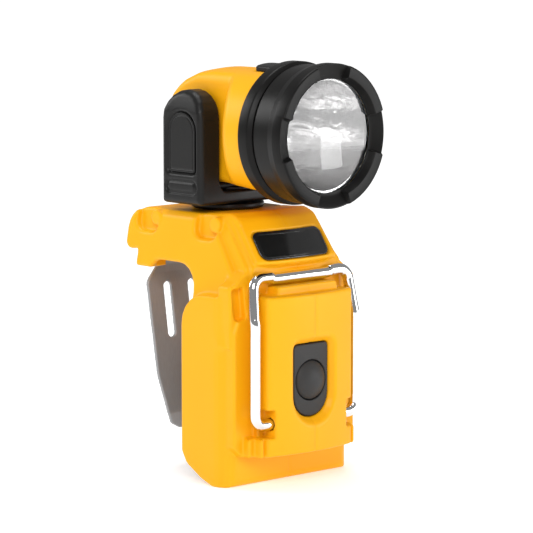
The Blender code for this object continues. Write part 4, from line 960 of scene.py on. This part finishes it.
# repeated parts, made with Geometry Nodes
class Grower:
    # a Geometry Nodes tree with named number inputs
    def __init__(self, name, inputs):
        self.tree = bpy.data.node_groups.new(name, "GeometryNodeTree")
        face = self.tree.interface
        face.new_socket("Geometry", in_out="INPUT", socket_type="NodeSocketGeometry")
        face.new_socket("Geometry", in_out="OUTPUT", socket_type="NodeSocketGeometry")
        for key, value in inputs.items():
            socket = face.new_socket(key, in_out="INPUT", socket_type="NodeSocketFloat")
            socket.default_value = value
        self.source = self.tree.nodes.new("NodeGroupInput")
        self.result = self.tree.nodes.new("NodeGroupOutput")

    def given(self, name):
        return self.source.outputs[name]

    def add(self, kind, settings, inputs, output=0):
        node = self.tree.nodes.new(kind)
        for key, value in settings.items():
            setattr(node, key, value)
        for key, value in inputs.items():
            if isinstance(value, bpy.types.NodeSocket):
                self.tree.links.new(value, node.inputs[key])
            elif isinstance(value, list):
                for each in value:
                    self.tree.links.new(each, node.inputs[key])
            else:
                node.inputs[key].default_value = value
        return node.outputs[output]

    def end(self, geometry, material):
        realized = self.add("GeometryNodeRealizeInstances", {}, {0: geometry})
        finished = self.add("GeometryNodeSetMaterial", {}, {"Geometry": realized, "Material": material})
        self.tree.links.new(finished, self.result.inputs[0])


def grown(name, grower, seeds, sizes, material):
    # seeds are (place in mm, facing, length in mm); the modifier becomes a plain mesh
    mesh = bpy.data.meshes.new(name + ".seeds")
    mesh.from_pydata([(x * mm, (y + shift) * mm, z * mm) for (x, y, z), _, _ in seeds], [], [])
    mesh.attributes.new("facing", "FLOAT_VECTOR", "POINT")
    mesh.attributes.new("length", "FLOAT", "POINT")
    for index, (_, facing, length) in enumerate(seeds):
        mesh.attributes["facing"].data[index].vector = facing
        mesh.attributes["length"].data[index].value = length * mm
    carrier = bpy.data.objects.new(name + ".carrier", mesh)
    bpy.context.scene.collection.objects.link(carrier)
    modifier = carrier.modifiers.new("grow", "NODES")
    modifier.node_group = grower.tree
    names = {item.name: item.identifier for item in grower.tree.interface.items_tree
             if item.in_out == "INPUT"}
    for key, value in sizes.items():
        modifier[names[key]] = value * mm
    carrier.update_tag()
    bpy.context.view_layer.update()
    made = bpy.data.meshes.new_from_object(carrier.evaluated_get(bpy.context.evaluated_depsgraph_get()))
    bpy.data.objects.remove(carrier)
    made.name = name
    made.materials.clear()
    made.materials.append(material)
    made.shade_smooth()
    made.set_sharp_from_angle(angle=math.radians(35))
    obj = bpy.data.objects.new(name, made)
    bpy.context.scene.collection.objects.link(obj)
    return obj


def screwGrower():
    grower = Grower("screwField", {"Head Radius": 0.0025, "Head Depth": 0.002, "Shank Radius": 0.0013,
                                   "Socket": 0.0012})
    facing = grower.add("GeometryNodeInputNamedAttribute", {"data_type": "FLOAT_VECTOR"}, {"Name": "facing"})
    length = grower.add("GeometryNodeInputNamedAttribute", {"data_type": "FLOAT"}, {"Name": "length"})
    turn = grower.add("FunctionNodeAlignRotationToVector", {"axis": "Z"}, {"Vector": facing})
    head = grower.add("GeometryNodeMeshCylinder", {}, {"Vertices": 40, "Radius": grower.given("Head Radius"),
                                                       "Depth": grower.given("Head Depth")})
    socket = grower.add("GeometryNodeMeshCylinder", {}, {"Vertices": 6, "Radius": grower.given("Socket"),
                                                         "Depth": grower.given("Head Depth")})
    half = grower.add("ShaderNodeMath", {"operation": "MULTIPLY"}, {0: grower.given("Head Depth"), 1: 0.5})
    rise = grower.add("ShaderNodeCombineXYZ", {}, {"Z": half})
    raised = grower.add("GeometryNodeTransform", {}, {"Geometry": socket, "Translation": rise})
    cut = grower.add("GeometryNodeMeshBoolean", {"operation": "DIFFERENCE", "solver": "EXACT"},
                     {0: head, 1: raised})
    sunk = grower.add("ShaderNodeMath", {"operation": "MULTIPLY"}, {0: half, 1: -1.0})
    lower = grower.add("ShaderNodeCombineXYZ", {}, {"Z": sunk})
    headPlaced = grower.add("GeometryNodeTransform", {}, {"Geometry": cut, "Translation": lower})
    heads = grower.add("GeometryNodeInstanceOnPoints", {}, {"Points": grower.source.outputs["Geometry"],
                                                            "Instance": headPlaced, "Rotation": turn})
    shank = grower.add("GeometryNodeMeshCylinder", {},
                       {"Vertices": 24, "Radius": grower.given("Shank Radius"),
                                                        "Depth": 1.0})
    centred = grower.add("GeometryNodeTransform", {}, {"Geometry": shank, "Translation": (0, 0, -0.5)})
    stretch = grower.add("ShaderNodeCombineXYZ", {}, {"X": 1.0, "Y": 1.0, "Z": length})
    shanks = grower.add("GeometryNodeInstanceOnPoints", {}, {"Points": grower.source.outputs["Geometry"],
                                                             "Instance": centred, "Rotation": turn,
                                                             "Scale": stretch})
    together = grower.add("GeometryNodeJoinGeometry", {}, {0: [shanks, heads]})
    grower.end(together, blackSteel)
    return grower


def screwSeeds(nodes, facing):
    seeds = []
    for node in nodes:
        low, high = ends(node)
        middle = (low + high) / 2
        axis = max(range(3), key=lambda index: abs(facing[index]))
        middle[axis] = high[axis] if facing[axis] > 0 else low[axis]
        seeds.append((tuple(middle), facing, high[axis] - low[axis] - 0.1))
    return seeds


def headRadius(node):
    low, high = ends(node)
    return min(high[1] - low[1], high[2] - low[2]) / 2


screw = {"Head Depth": 1.9, "Shank Radius": 1.2, "Socket": 1.15}
screws = screwGrower()
shellScrews = ["shell_screw_%d" % number for number in range(1, 5)]
clipScrews = ["clip_screw_1", "clip_screw_2"]
headScrews = ["head_screw_1", "head_screw_2"]
for rider, nodes, seeds in (
        ("body", shellScrews + clipScrews,
         screwSeeds(shellScrews, (1, 0, 0)) + screwSeeds(clipScrews, (0, 0, -1))),
        ("head", headScrews, screwSeeds(headScrews, (1, 0, 0)))):
    sizes = dict(screw, **{"Head Radius": headRadius(nodes[0])})
    stands(grown("screws." + rider, screws, seeds, sizes, blackSteel), rider, "black_steel", *nodes)
print("screws done")

# the other CAD nodes keep their shapes and get finishes
finishes = {
    blackNylon: ("battery_receiver", "terminal_block", "switch_body", "board_inductor", "swivel_shaft"),
    switchRubber: ("lens_seal", "tilt_washer_left", "tilt_washer_right"),
    turnedSteel: ("swivel_washer", "swivel_nut", "tilt_pin_left", "tilt_pin_right"),
    boardGreen: ("driver_board", "led_board"),
    castAluminium: ("board_capacitor", "heat_sink"),
    platedCopper: tuple("terminal_blade_%d" % number for number in range(1, 5)),
    emitterYellow: ("led_emitter",),
}
for material, names in finishes.items():
    for name in names:
        node = frame["nodes"][name]
        for slot in node.material_slots:
            slot.material = material
print("finishes done")
